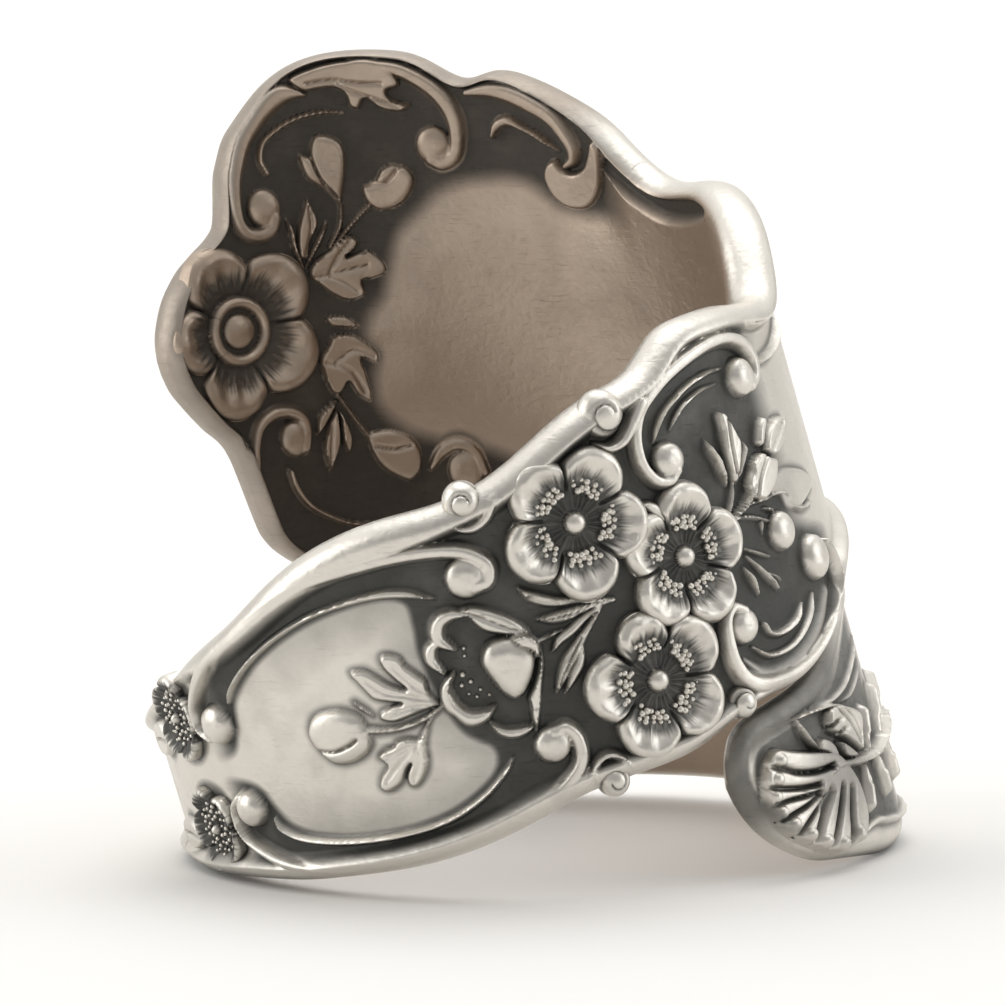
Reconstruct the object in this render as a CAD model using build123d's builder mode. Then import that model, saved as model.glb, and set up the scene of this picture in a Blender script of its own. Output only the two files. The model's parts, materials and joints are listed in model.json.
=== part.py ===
from build123d import *
import math
import os

os.makedirs("parts", exist_ok=True)

# A wrap ring struck from one strip of silver: a low rounded end with a leaf fan, a narrow stem
# round the back, a broad front with two scrolled panels and three flowers, and a wide lobed tip.
# The strip climbs one and a half turns round a round bore and lies as it rests by itself.

# Driving sizes in millimetres
bore_radius = 9.6
wall = 1.6
tip_width = 17.2
front_width = 11.4
stem_width = 4.2
end_width = 8.5
winding_gap = 0.3
rim_reach = 2.0
inner_drop = 0.4

# Sizes of the raised ornament
flower_radius = 2.2
small_flower_radius = 1.1
tip_flower_radius = 2.4
scroll_end_radius = 0.72
knob_radius = 0.58
bud_radius = 0.85
leaf_length = 2.4
leaf_breadth = 0.85
ridge_radius = 0.34
petal_rise = 0.55
ball_rise = 0.6
leaf_rise = 0.35
sunk_depth = 0.45

# The low end and the front come closest where they reach these shares of their widths
FRONT_REACH = 0.505
END_REACH = 0.292
TURN_SHARE = 0.983
climb = (FRONT_REACH * front_width + END_REACH * end_width + winding_gap) / TURN_SHARE

# The strip, a row for each section: angle round the bore in degrees, height of its middle as a
# share of the climb in one turn, the width that it follows, its half width as a share of that,
# and the wall at the low rim, the ground and the high rim as shares of the wall.
SECTIONS = (
    (-60.2, -1.115, end_width, 0.065, 0.45, 0.70, 0.72),
    (-58.8, -1.125, end_width, 0.140, 0.45, 0.70, 0.72),
    (-56, -1.135, end_width, 0.205, 0.45, 0.70, 0.72),
    (-51, -1.160, end_width, 0.255, 0.45, 0.70, 0.72),
    (-44, -1.205, end_width, 0.290, 0.45, 0.70, 0.72),
    (-36, -1.235, end_width, 0.330, 0.45, 0.72, 0.78),
    (-28, -1.240, end_width, 0.375, 0.45, 0.72, 0.78),
    (-20, -1.225, end_width, 0.430, 0.45, 0.72, 0.78),
    (-11, -1.215, end_width, 0.475, 0.45, 0.72, 0.78),
    (0, -1.215, end_width, 0.495, 0.45, 0.72, 0.78),
    (14, -1.235, end_width, 0.480, 0.45, 0.72, 0.78),
    (30, -1.255, end_width, 0.435, 0.65, 0.72, 0.82),
    (48, -1.255, stem_width, 0.760, 0.65, 0.72, 0.82),
    (68, -1.230, stem_width, 0.655, 0.85, 0.78, 0.88),
    (92, -1.170, stem_width, 0.555, 0.85, 0.78, 0.88),
    (118, -1.065, stem_width, 0.495, 0.85, 0.78, 0.88),
    (142, -0.960, stem_width, 0.490, 0.85, 0.78, 0.88),
    (162, -0.875, stem_width, 0.525, 0.90, 0.74, 0.90),
    (178, -0.800, stem_width, 0.565, 0.90, 0.74, 0.90),
    (190, -0.745, front_width, 0.230, 0.94, 0.68, 0.94),
    (203, -0.695, front_width, 0.270, 0.94, 0.68, 0.94),
    (215, -0.630, front_width, 0.315, 0.94, 0.68, 0.94),
    (226, -0.580, front_width, 0.355, 0.94, 0.68, 0.94),
    (236, -0.515, front_width, 0.405, 0.94, 0.68, 0.94),
    (246, -0.475, front_width, 0.435, 0.94, 0.68, 0.94),
    (257, -0.445, front_width, 0.445, 0.94, 0.68, 0.94),
    (267, -0.420, front_width, 0.430, 0.94, 0.68, 0.94),
    (277, -0.375, front_width, 0.430, 0.94, 0.68, 0.94),
    (287, -0.330, front_width, 0.465, 0.94, 0.68, 0.94),
    (296, -0.300, front_width, 0.480, 0.94, 0.68, 0.94),
    (304, -0.265, front_width, 0.475, 0.94, 0.68, 0.94),
    (311, -0.220, front_width, 0.500, 0.94, 0.68, 0.94),
    (319, -0.220, front_width, 0.505, 0.97, 0.68, 0.97),
    (327, -0.215, front_width, 0.485, 0.97, 0.68, 0.97),
    (335, -0.205, front_width, 0.445, 0.97, 0.68, 0.97),
    (343, -0.160, front_width, 0.410, 0.97, 0.68, 0.97),
    (352, -0.065, front_width, 0.440, 1.00, 0.72, 1.00),
    (362, 0.005, front_width, 0.470, 1.00, 0.72, 1.00),
    (373, 0.040, front_width, 0.480, 1.00, 0.72, 1.00),
    (385, 0.050, front_width, 0.465, 1.00, 0.72, 1.00),
    (394, 0.110, front_width, 0.455, 0.96, 0.72, 0.96),
    (402, 0.215, tip_width, 0.335, 0.96, 0.72, 0.96),
    (409, 0.260, tip_width, 0.375, 0.96, 0.72, 0.96),
    (416, 0.280, tip_width, 0.415, 0.96, 0.72, 0.96),
    (423, 0.285, tip_width, 0.440, 0.96, 0.72, 0.96),
    (428.5, 0.275, tip_width, 0.450, 0.96, 0.72, 0.96),
    (434, 0.315, tip_width, 0.475, 0.96, 0.72, 0.96),
    (441, 0.370, tip_width, 0.490, 0.96, 0.72, 0.96),
    (449, 0.385, tip_width, 0.500, 0.96, 0.72, 0.96),
    (457, 0.375, tip_width, 0.505, 0.96, 0.72, 0.96),
    (464, 0.355, tip_width, 0.485, 0.96, 0.72, 0.96),
    (470, 0.330, tip_width, 0.455, 0.96, 0.72, 0.96),
    (475, 0.290, tip_width, 0.405, 0.96, 0.72, 0.96),
    (478.5, 0.225, tip_width, 0.335, 0.96, 0.72, 0.96),
    (483.5, 0.245, tip_width, 0.300, 0.96, 0.72, 0.96),
    (486.4, 0.280, tip_width, 0.265, 0.96, 0.72, 0.96),
    (488.2, 0.435, tip_width, 0.175, 0.96, 0.72, 0.96),
    (492, 0.470, tip_width, 0.130, 0.90, 0.80, 0.90),
    (495, 0.485, tip_width, 0.085, 0.90, 0.80, 0.90),
    (497.2, 0.485, tip_width, 0.030, 0.84, 0.82, 0.84),
)
ANGLE, MIDDLE, WIDTH, HALF, LOW_WALL, GROUND_WALL, HIGH_WALL = range(7)

# Cut away inside the strip so that the bore is one true cylinder
bore_excess = 0.5

# A narrow section has a narrower rim; these are shares of the reach of the rim
RIM_CROWD = 2.5
ROLL = 0.28
FLAT = 0.62

# Stretches of the strip meet at these angles, and the hollow inside the tip lies between two
MEETING_ANGLES = (48, 190, 257, 319, 385, 434)
HOLLOW_START = 402
HOLLOW_END = 492

# A flower's parts as shares of its radius, and a knob's rise as a share of a scroll end's
PETALS = 5
PETAL_PLACE = 0.56
PETAL_SIZE = 0.42
HEART_DISC = 0.45
HEART_BALL = 0.3
KNOB_SHARE = 1.2


def rows_about(angle):
    """The rows before and after an angle, and the share of the way between them."""
    for row, after in zip(SECTIONS, SECTIONS[1:]):
        if angle <= after[ANGLE]:
            break
    return row, after, (angle - row[ANGLE]) / (after[ANGLE] - row[ANGLE])


def between(angle, column):
    """A column of the table at an angle, in a straight line between two rows."""
    row, after, share = rows_about(angle)
    return row[column] + share * (after[column] - row[column])


def middle_and_half(angle):
    """Height of the strip's middle and its half width at an angle."""
    row, after, share = rows_about(angle)
    half = row[WIDTH] * row[HALF]
    half_after = after[WIDTH] * after[HALF]
    return climb * between(angle, MIDDLE), half + share * (half_after - half)


def around(angle, radius, height):
    """A point at an angle round the bore."""
    turn = math.radians(angle)
    return Vector(radius * math.cos(turn), radius * math.sin(turn), height)


def radial_plane(angle):
    """The half plane through the bore's axis, with its own Y along the axis."""
    turn = math.radians(angle)
    return Plane((0, 0, 0), x_dir=(math.cos(turn), math.sin(turn), 0),
                 z_dir=(math.sin(turn), -math.cos(turn), 0))


def strip_section(row):
    """One cross section of the strip, with a rolled rim along both edges."""
    middle = climb * row[MIDDLE]
    half = row[WIDTH] * row[HALF]
    low = middle - half
    high = middle + half
    reach = rim_reach * 2 * half / (2 * half + RIM_CROWD * rim_reach)
    inside = bore_radius - bore_excess
    low_rim = bore_radius + wall * row[LOW_WALL]
    ground = bore_radius + wall * row[GROUND_WALL]
    high_rim = bore_radius + wall * row[HIGH_WALL]
    with BuildSketch(radial_plane(row[ANGLE])) as outline:
        with BuildLine():
            ThreePointArc((inside, low + ROLL * reach), ((inside + low_rim) / 2, low),
                          (low_rim, low + ROLL * reach))
            Polyline((low_rim, low + ROLL * reach), (low_rim, low + FLAT * reach),
                     (ground, low + reach), (ground, high - reach),
                     (high_rim, high - FLAT * reach), (high_rim, high - ROLL * reach))
            ThreePointArc((high_rim, high - ROLL * reach), ((inside + high_rim) / 2, high),
                          (inside, high - ROLL * reach))
            Line((inside, high - ROLL * reach), (inside, low + ROLL * reach))
        make_face()
    return outline.sketch.face()


def hollow_section(row):
    """One section of the hollow inside the tip, from rim to rim."""
    middle, half = climb * row[MIDDLE], row[WIDTH] * row[HALF]
    reach = rim_reach * 2 * half / (2 * half + RIM_CROWD * rim_reach)
    inside = bore_radius - bore_excess
    floor = bore_radius + inner_drop
    mouth = half - ROLL * reach
    with BuildSketch(radial_plane(row[ANGLE])) as outline:
        with BuildLine():
            Polyline((inside, middle - mouth), (floor, middle + reach - half),
                     (floor, middle + half - reach), (inside, middle + mouth), close=True)
        make_face()
    return outline.sketch.face()


# The bore goes clear through from well below the strip to well above it
bore_length = 2 * (climb + tip_width)


def surface(angle, across, inside=False):
    """A plane on the sunk ground, its Z out of the metal and its X along the strip."""
    middle, half = middle_and_half(angle)
    turn = math.radians(angle)
    along = (-math.sin(turn), math.cos(turn), 0)
    outward = (math.cos(turn), math.sin(turn), 0)
    height = middle + across * half
    if inside:
        inward = (-math.cos(turn), -math.sin(turn), 0)
        return Plane(around(angle, bore_radius + inner_drop, height), x_dir=along, z_dir=inward)
    ground = bore_radius + wall * between(angle, GROUND_WALL)
    return Plane(around(angle, ground, height), x_dir=along, z_dir=outward)


def button(place, radius, rise):
    """A round raised boss with a domed top, rooted in the metal."""
    ball = (radius**2 + rise**2) / (2 * rise)
    half_turn = math.asin(radius / ball) / 2
    shoulder = (ball * math.sin(half_turn), rise - ball + ball * math.cos(half_turn))
    with BuildPart() as boss:
        with BuildSketch(Plane(place.origin, x_dir=place.x_dir, z_dir=-place.y_dir)):
            with BuildLine():
                Polyline((0, rise), (0, -sunk_depth), (radius, -sunk_depth), (radius, 0))
                ThreePointArc((radius, 0), shoulder, (0, rise))
            make_face()
        revolve(axis=Axis(place.origin, place.z_dir))
    return boss.part


def leaf(place, length, breadth, turn):
    """A raised pointed leaf whose root is at the place, turned about it in degrees."""
    angle = math.radians(turn)
    pointing = place.x_dir * math.cos(angle) + place.y_dir * math.sin(angle)
    root = Plane(place.origin, x_dir=pointing, z_dir=place.z_dir)
    with BuildPart() as blade:
        with BuildSketch(root.offset(-sunk_depth)):
            with BuildLine():
                ThreePointArc((0, 0), (length / 2, breadth / 2), (length, 0))
                ThreePointArc((length, 0), (length / 2, -breadth / 2), (0, 0))
            make_face()
        extrude(amount=sunk_depth + leaf_rise)
    return blade.part


def hook(first, bend, last):
    """A half sunk round bar through three places on the ground."""
    with BuildPart() as bar:
        with BuildLine() as path:
            ThreePointArc(first.origin, bend.origin, last.origin)
        with BuildSketch(Plane(path.line @ 0, z_dir=path.line % 0)):
            Circle(ridge_radius)
        sweep()
    return bar.part


def flower(place, radius):
    """Five round petals with a domed heart."""
    with BuildPart() as bloom:
        with BuildSketch(place.offset(-sunk_depth)):
            Circle(HEART_DISC * radius)
            with PolarLocations(PETAL_PLACE * radius, PETALS, start_angle=90):
                Circle(PETAL_SIZE * radius)
        extrude(amount=sunk_depth + petal_rise)
        add(button(place.offset(petal_rise / 2), HEART_BALL * radius, petal_rise))
    return bloom.part


# Places on the strip are an angle round the bore and a share of the way from its middle to its
# high edge, or below its middle where the share is negative.
FLOWERS = ((285.7, 0.48), (301.8, -0.03), (291.3, -0.54))
WAIST_FLOWERS = ((202.4, 0.56), (205.4, -0.52))
SCROLL_ENDS = ((215.4, 0.38), (218.7, -0.38), (267, 0.56), (272.7, -0.62),
               (304.4, 0.47), (325.6, 0.61), (310.4, -0.57), (332.6, -0.58))
KNOBS = ((270.9, 0.88), (296.1, 0.84), (280, -0.86), (305.2, -0.84))
BUDS = ((240.1, -0.10), (269.6, -0.05), (324.8, -0.24))

# Each scroll's hook: where it leaves the rim, its bend, and its round end
HOOKS = (
    ((230, 0.86), (221, 0.80), (215.4, 0.38)),
    ((228, -0.88), (217, -0.68), (218.7, -0.38)),
    ((259, 0.84), (269, 0.76), (267, 0.56)),
    ((268, -0.86), (277, -0.74), (272.7, -0.62)),
    ((307, 0.90), (299.8, 0.76), (304.4, 0.47)),
    ((322, 0.86), (332.5, 0.80), (325.6, 0.61)),
    ((312, -0.90), (306, -0.72), (310.4, -0.57)),
    ((331, -0.84), (338, -0.66), (332.6, -0.58)),
)

# Leaves, a row each: angle and share of the root, length as a share of the leaf length, and the
# way the leaf points in degrees from the run of the strip, turning towards its high edge.
LEAVES = (
    (256, 0.05, 1.00, 155), (257, 0.08, 0.80, 122), (256, -0.14, 1.00, -158),
    (257, -0.17, 0.80, -122), (258, -0.06, 1.20, 181),
    (288, 0.00, 0.95, 160), (288, -0.05, 0.95, 190), (287, -0.12, 0.85, 222),
    (312.6, 0.02, 1.05, 80), (313.4, 0.02, 1.30, 66), (314, -0.02, 0.95, 38),
    (314, -0.06, 1.55, 20), (313, -0.10, 1.00, -75), (314, -0.10, 1.10, -55),
)

# The leaf fan of the low end: its root, the ways its leaves point and their length
FAN_ROOT = (-29, 0.16)
FAN_TURNS = (95, 120, 145, 170, 195, 220, 245, 270, 300)
FAN_SHARE = 1.05

TIP_FLOWER = (481.3, 0.46)
TIP_SCROLL_ENDS = ((469.4, 0.65), (436, 0.63), (409.5, 0.60), (476.8, -0.25), (447.3, -0.66))
TIP_BUDS = ((456.4, 0.62), (445.6, 0.47), (458.2, -0.47))
TIP_HOOKS = (
    ((469.4, 0.65), (475.5, 0.76), (471, 0.86)),
    ((436, 0.63), (429.5, 0.68), (431, 0.84)),
    ((409.5, 0.60), (405, 0.70), (410, 0.84)),
    ((476.8, -0.25), (482, -0.36), (480, -0.66)),
    ((447.3, -0.66), (440.5, -0.70), (442, -0.86)),
)
TIP_LEAVES = (
    (467, 0.22, 1.05, 180), (466, 0.28, 0.95, 145), (467, 0.30, 0.90, 112),
    (467, 0.02, 0.95, 215), (468, -0.06, 0.85, 245), (470, -0.10, 0.80, 280),
)


def front_ornament():
    """Each raised form on the outside, with the angle where it stands."""
    forms = [(place[0], flower(surface(*place), flower_radius)) for place in FLOWERS]
    forms += [(place[0], flower(surface(*place), small_flower_radius)) for place in WAIST_FLOWERS]
    forms += [(place[0], button(surface(*place), scroll_end_radius, ball_rise)) for place in SCROLL_ENDS]
    forms += [(place[0], button(surface(*place), knob_radius, KNOB_SHARE * ball_rise)) for place in KNOBS]
    forms += [(place[0], button(surface(*place), bud_radius, ball_rise)) for place in BUDS]
    for places in HOOKS:
        forms.append((places[1][0], hook(*(surface(*place) for place in places))))
    for angle, across, share, turn in LEAVES:
        forms.append((angle, leaf(surface(angle, across), share * leaf_length, leaf_breadth, turn)))
    for turn in FAN_TURNS:
        forms.append((FAN_ROOT[0], leaf(surface(*FAN_ROOT), FAN_SHARE * leaf_length, leaf_breadth, turn)))
    return forms


def stretch(start, end, forms):
    """The strip between two angles, bored, with the raised forms that stand on it."""
    rows = [row for row in SECTIONS if start <= row[ANGLE] <= end]
    standing = [form for angle, form in forms if start < angle <= end]
    with BuildPart() as piece:
        loft([strip_section(row) for row in rows], clean=False)
        with BuildSketch(Plane.XY):
            Circle(bore_radius)
        extrude(amount=bore_length, both=True, clean=False, mode=Mode.SUBTRACT)
        if standing:
            add(standing, clean=False)
    return piece.part


# Raised forms inside the tip stand up to the bore and no further
with BuildPart() as tip_ornament:
    add(flower(surface(*TIP_FLOWER, inside=True), tip_flower_radius), clean=False)
    for place in TIP_SCROLL_ENDS:
        add(button(surface(*place, inside=True), scroll_end_radius, ball_rise), clean=False)
    for place in TIP_BUDS:
        add(button(surface(*place, inside=True), bud_radius, ball_rise), clean=False)
    for places in TIP_HOOKS:
        add(hook(*(surface(*place, inside=True) for place in places)), clean=False)
    for angle, across, share, turn in TIP_LEAVES:
        root = surface(angle, across, inside=True)
        add(leaf(root, share * leaf_length, leaf_breadth, -turn), clean=False)
    with BuildSketch(Plane.XY):
        Circle(bore_radius)
    extrude(amount=bore_length, both=True, clean=False, mode=Mode.SUBTRACT)

hollow_rows = [row for row in SECTIONS if HOLLOW_START <= row[ANGLE] <= HOLLOW_END]
ends = (SECTIONS[0][ANGLE],) + MEETING_ANGLES + (SECTIONS[-1][ANGLE],)
outside_forms = front_ornament()

with BuildPart() as band:
    for start, end in zip(ends, ends[1:]):
        add(stretch(start, end, outside_forms), clean=False)
    loft([hollow_section(row) for row in hollow_rows], ruled=True, clean=False, mode=Mode.SUBTRACT)
    add(tip_ornament.part, clean=False)

# The ring lies on three places of its low edge: under the low end, and on both sides of the
# place opposite to it
SUPPORTS = (-4, 160, 200)


def low_point(angle):
    """The lowest place of a section's rolled edge."""
    middle, half = middle_and_half(angle)
    low_rim = bore_radius + wall * between(angle, LOW_WALL)
    return around(angle, (bore_radius + low_rim) / 2, middle - half)


under_end, behind, before = (low_point(angle) for angle in SUPPORTS)
up = (behind - under_end).cross(before - under_end).normalized()
heading = Vector(1, 0, 0) - up * up.X
floor = Plane(under_end, x_dir=heading, z_dir=up)
resting = floor.location.inverse() * band.part
box = resting.bounding_box()
middle_of_base = Vector((box.min.X + box.max.X) / 2, (box.min.Y + box.max.Y) / 2, box.min.Z)

with BuildPart() as ring_band:
    add(resting.moved(Location(-middle_of_base)), clean=False)

ring_band.part.label = "ring_band"
export_step(ring_band.part, "parts/ring_band.step")
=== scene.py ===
import json
import math

import bpy
import numpy as np
from mathutils import Matrix, Vector


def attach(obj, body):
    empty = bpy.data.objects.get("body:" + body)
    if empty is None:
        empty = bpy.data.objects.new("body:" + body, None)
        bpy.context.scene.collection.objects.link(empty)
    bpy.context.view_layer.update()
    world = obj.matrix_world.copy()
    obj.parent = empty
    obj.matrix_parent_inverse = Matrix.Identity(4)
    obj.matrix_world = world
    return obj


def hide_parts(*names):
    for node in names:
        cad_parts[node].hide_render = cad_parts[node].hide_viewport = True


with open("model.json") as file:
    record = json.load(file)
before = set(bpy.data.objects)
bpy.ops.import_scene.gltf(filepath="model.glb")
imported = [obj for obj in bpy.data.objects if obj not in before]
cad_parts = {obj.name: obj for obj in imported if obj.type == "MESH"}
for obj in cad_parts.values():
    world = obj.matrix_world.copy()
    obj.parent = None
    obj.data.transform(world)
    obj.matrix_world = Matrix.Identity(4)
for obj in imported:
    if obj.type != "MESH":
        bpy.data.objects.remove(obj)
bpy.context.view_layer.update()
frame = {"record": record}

# The ring is drawn in millimetres, on the strip laid flat, until a piece is wrapped round the bore
MM = 0.001
DEGREE = math.pi / 180
BORE_RADIUS = 9.6
DRAWN_RADIUS = 11.0
TIP_DRAWN_RADIUS = 9.75
MM_PER_DEGREE = DRAWN_RADIUS * DEGREE
SHARPEST_SMOOTH_EDGE = 50 * DEGREE
PETALS = 5

# The bore leans back a little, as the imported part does; its mount sits below the front's middle
MOUNT_BELOW_FRONT = 1.438
finger_bore = next(mount for mount in frame["record"]["mounts"] if mount["name"] == "finger_bore")
UP_BORE = Vector(finger_bore["axis"]).normalized()
FRONT_MIDDLE = Vector(finger_bore["pos_m"]) + UP_BORE * MOUNT_BELOW_FRONT * MM
ACROSS = Vector((UP_BORE.z, 0, -UP_BORE.x)).normalized()
AWAY = UP_BORE.cross(ACROSS)


def wrapped(angle, height, radius):
    """Places in metres for angles round the bore, heights along it and radii."""
    turn = np.asarray(angle) * DEGREE
    out = np.cos(turn)[..., None] * np.array(ACROSS) + np.sin(turn)[..., None] * np.array(AWAY)
    along = np.asarray(height)[..., None] * np.array(UP_BORE)
    return np.array(FRONT_MIDDLE) + MM * (along + np.asarray(radius)[..., None] * out)


# The outline of the strip: angle round the bore, height of the low edge, height of the high edge
EDGES = np.array((
    (-58.3, -9.75, -9.6), (-58.05, -10.0, -9.35), (-57.6, -10.35, -9.05), (-56.8, -10.75, -8.75),
    (-54.8, -11.4, -8.3), (-51, -12.15, -8.03), (-45.5, -12.88, -7.96), (-38, -13.4, -7.92),
    (-28, -13.95, -7.6), (-20, -14.35, -7.0), (-11, -14.6, -6.5), (0, -14.8, -6.35),
    (14, -14.85, -6.65), (30, -14.6, -7.2), (48, -14.1, -7.7), (68, -13.45, -7.95),
    (92, -12.5, -7.85), (118, -11.35, -7.2), (142, -10.4, -6.3), (162, -9.8, -5.4),
    (178, -9.35, -4.6), (190, -9.1, -3.85), (203, -9.1, -2.95), (215, -9.05, -1.9),
    (226, -9.1, -0.95), (236, -9.1, 0.1), (246, -9.1, 0.85), (257, -8.95, 1.2),
    (267, -8.6, 1.25), (277, -8.2, 1.65), (287, -8.15, 2.4), (296, -8.1, 2.85),
    (304, -7.75, 3.1), (311, -7.6, 3.75), (319, -7.65, 3.85), (327, -7.4, 3.65),
    (335, -6.85, 3.3), (343, -6.05, 3.3), (352, -5.6, 4.45), (362, -5.3, 5.4),
    (373, -5.15, 5.85), (385, -4.9, 5.75), (394, -4.25, 6.15), (402, -3.9, 7.6),
    (409, -4.15, 8.7), (416, -4.7, 9.6), (423, -5.1, 10.1), (428.5, -5.3, 10.1),
    (434, -5.45, 10.95), (441, -5.2, 11.6), (449, -5.25, 11.95), (457, -5.45, 11.95),
    (464, -5.3, 11.45), (470, -4.95, 10.65), (475, -4.4, 9.45), (478.5, -3.85, 7.75),
    (483.5, -3.0, 7.25), (486.4, -2.1, 7.0), (488.2, 0.8, 6.8), (492, 1.85, 6.3),
    (495, 2.75, 5.65), (496.8, 3.4, 5.05), (497.5, 4.0, 4.5)))
FIRST_ANGLE, LAST_ANGLE = EDGES[0, 0], EDGES[-1, 0]
# Towards its two ends the outline is drawn tighter: from which angle, and over how many degrees
LOW_END_TIGHT, LOW_END_EASES = -56, 6
TIP_TIGHT, TIP_EASES = 470, 5

# The wall: angle, the outside's radius at the low rim, on the ground and at the high rim, and how far
# in the low rim and the high rim reach
WALLS = np.array((
    (-61, 10.2, 10.36, 10.42, .4, .4), (-40, 10.2, 10.36, 10.46, .4, .4),
    (-20, 10.2, 10.36, 10.55, .4, .3), (14, 10.3, 10.5, 10.72, .45, .45),
    (40, 10.65, 10.7, 10.9, .62, .62), (70, 10.95, 10.82, 11.0, .62, .62),
    (160, 11.0, 10.8, 11.03, .62, .62), (188, 11.08, 10.7, 11.06, .6, .4),
    (200, 11.1, 10.69, 11.0, .5, .1), (209, 11.1, 10.69, 11.02, .5, .1), (218, 11.11, 10.69, 11.11, .5, .5),
    (238, 11.12, 10.69, 11.12, .5, .72), (257, 11.13, 10.69, 11.13, .55, .86),
    (268, 11.14, 10.69, 11.14, .6, .6), (300, 11.14, 10.69, 11.14, .45, .56),
    (310, 11.14, 10.69, 11.14, .2, .5), (334, 11.16, 10.71, 11.16, .12, .55),
    (345, 11.18, 10.74, 11.18, .4, .6), (390, 11.2, 10.75, 11.2, .6, .62),
    (400, 11.12, 10.75, 11.12, .6, .6), (488, 11.12, 10.78, 11.12, .6, .6),
    (498, 10.95, 10.85, 10.95, .5, .5)))
LOW_RIM, GROUND, HIGH_RIM, LOW_REACH, HIGH_REACH = range(1, 6)
# The strip has its full rims from this width on, and a rim falls to the ground over its slope
FULL_RIMS_FROM = 5
RIM_SLOPE = 0.46


def wall(angle, column):
    """One column of the wall at angles between its rows."""
    return np.interp(angle, WALLS[:, 0], WALLS[:, column])


def ease(value):
    """From nothing to one, slow at both ends."""
    value = np.clip(value, 0, 1)
    return value * value * (3 - 2 * value)


def past(value, start, width):
    """Nothing below the start, rising to one over the width after it."""
    return ease((value - start) / width)


def short_of(value, end, width):
    """Nothing above the end, rising to one over the width before it."""
    return ease((end - value) / width)


def quarter_round(value):
    """From nothing to one along a quarter of a circle."""
    return np.sqrt(np.clip(1 - (1 - np.clip(value, 0, 1)) ** 2, 0, 1))


def between(low, high, share):
    """From a low rim's value to a high rim's, eased across the strip."""
    return low + ease(share) * (high - low)


def knots_and_values(at, column):
    """The rows' angles and values, their spans, and where each place lies between two rows."""
    knots = EDGES[:, 0]
    span = np.diff(knots)
    at = np.clip(at, knots[0], knots[-1])
    i = np.clip(np.searchsorted(knots, at, side="right") - 1, 0, len(span) - 1)
    return knots, EDGES[:, column], span, i, (at - knots[i]) / span[i]


def flowing_edge(at, column):
    """The edge as one springy curve through its rows."""
    knots, values, span, i, t = knots_and_values(at, column)
    count = len(knots)
    system, load = np.eye(count), np.zeros(count)
    for k in range(1, count - 1):
        system[k, k - 1:k + 2] = span[k - 1], 2 * (span[k - 1] + span[k]), span[k]
        load[k] = 6 * ((values[k + 1] - values[k]) / span[k] - (values[k] - values[k - 1]) / span[k - 1])
    bend = np.linalg.solve(system, load)
    a, b = 1 - t, t
    return (a * values[i] + b * values[i + 1]
            + ((a ** 3 - a) * bend[i] + (b ** 3 - b) * bend[i + 1]) * span[i] ** 2 / 6)


def tight_edge(at, column):
    """The edge as a curve that never swings past its rows, for the lobes of the tip."""
    _, values, span, i, t = knots_and_values(at, column)
    slope = np.diff(values) / span
    rate = np.concatenate([slope[:1], np.zeros(len(slope) - 1), slope[-1:]])
    before, after = slope[:-1], slope[1:]
    even = before * after > 0
    rate[1:-1] = np.where(even, 2 * before * after / np.where(even, before + after, 1), 0)
    return (values[i] * (1 + 2 * t) * (1 - t) ** 2 + values[i + 1] * t * t * (3 - 2 * t)
            + span[i] * (rate[i] * t * (1 - t) ** 2 - rate[i + 1] * t * t * (1 - t)))


def edge(at, column):
    """The outline's height, tight at both ends and springy between them."""
    at = np.asarray(at, float)
    tight = np.maximum(past(at, TIP_TIGHT, TIP_EASES), 1 - past(at, LOW_END_TIGHT, LOW_END_EASES))
    return tight * tight_edge(at, column) + (1 - tight) * flowing_edge(at, column)


def low_edge(angle):
    return edge(angle, 1)


def high_edge(angle):
    return edge(angle, 2)


def flat(angle, height):
    """Places on the strip laid flat, in millimetres."""
    return np.stack([np.asarray(angle, float) * MM_PER_DEGREE, np.asarray(height, float)], -1)


def flat_distance(angle, height, from_angle, from_height):
    return np.hypot((angle - from_angle) * MM_PER_DEGREE, height - from_height)


def through(places, closed=False, count=7):
    """A smooth run, open or closed, through rows that begin with an angle and a height."""
    rows = np.array(places, float)
    rows[:, 0] *= MM_PER_DEGREE
    if closed:
        padded = np.vstack([rows[-1:], rows, rows[:2]])
    else:
        padded = np.vstack([2 * rows[:1] - rows[1:2], rows, 2 * rows[-1:] - rows[-2:-1]])
    runs = []
    for a, b, c, d in zip(padded, padded[1:], padded[2:], padded[3:]):
        t = np.linspace(0, 1, count, endpoint=False)[:, None]
        runs.append(0.5 * (2 * b + (c - a) * t + (2 * a - 5 * b + 4 * c - d) * t ** 2
                           + (3 * b - a - 3 * c + d) * t ** 3))
    return np.vstack(runs + [rows[:1] if closed else rows[-1:]])


def nearest(points, line):
    """Distance from flat points to a run, and the run's own columns at the nearest place."""
    best = np.full(len(points), np.inf)
    found = np.zeros((len(points), line.shape[1]))
    for start, end in zip(line[:-1], line[1:]):
        run = end[:2] - start[:2]
        share = np.clip(((points - start[:2]) @ run) / max(run @ run, 1e-12), 0, 1)
        gap = np.hypot(*(points - start[:2] - share[:, None] * run).T)
        closer = gap < best
        best[closer] = gap[closer]
        found[closer] = start + share[closer, None] * (end - start)
    return best, found


def within(points, line):
    """Which flat points lie inside a closed run."""
    x, y = points.T
    inside = np.zeros(len(points), bool)
    for (x0, y0), (x1, y1) in zip(line[:-1, :2], line[1:, :2]):
        if y0 != y1:
            inside ^= ((y0 > y) != (y1 > y)) & (x < (x1 - x0) * (y - y0) / (y1 - y0) + x0)
    return inside


def near_to(points, line, reach):
    return np.all((points > line[:, :2].min(0) - reach) & (points < line[:, :2].max(0) + reach), axis=1)


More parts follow.
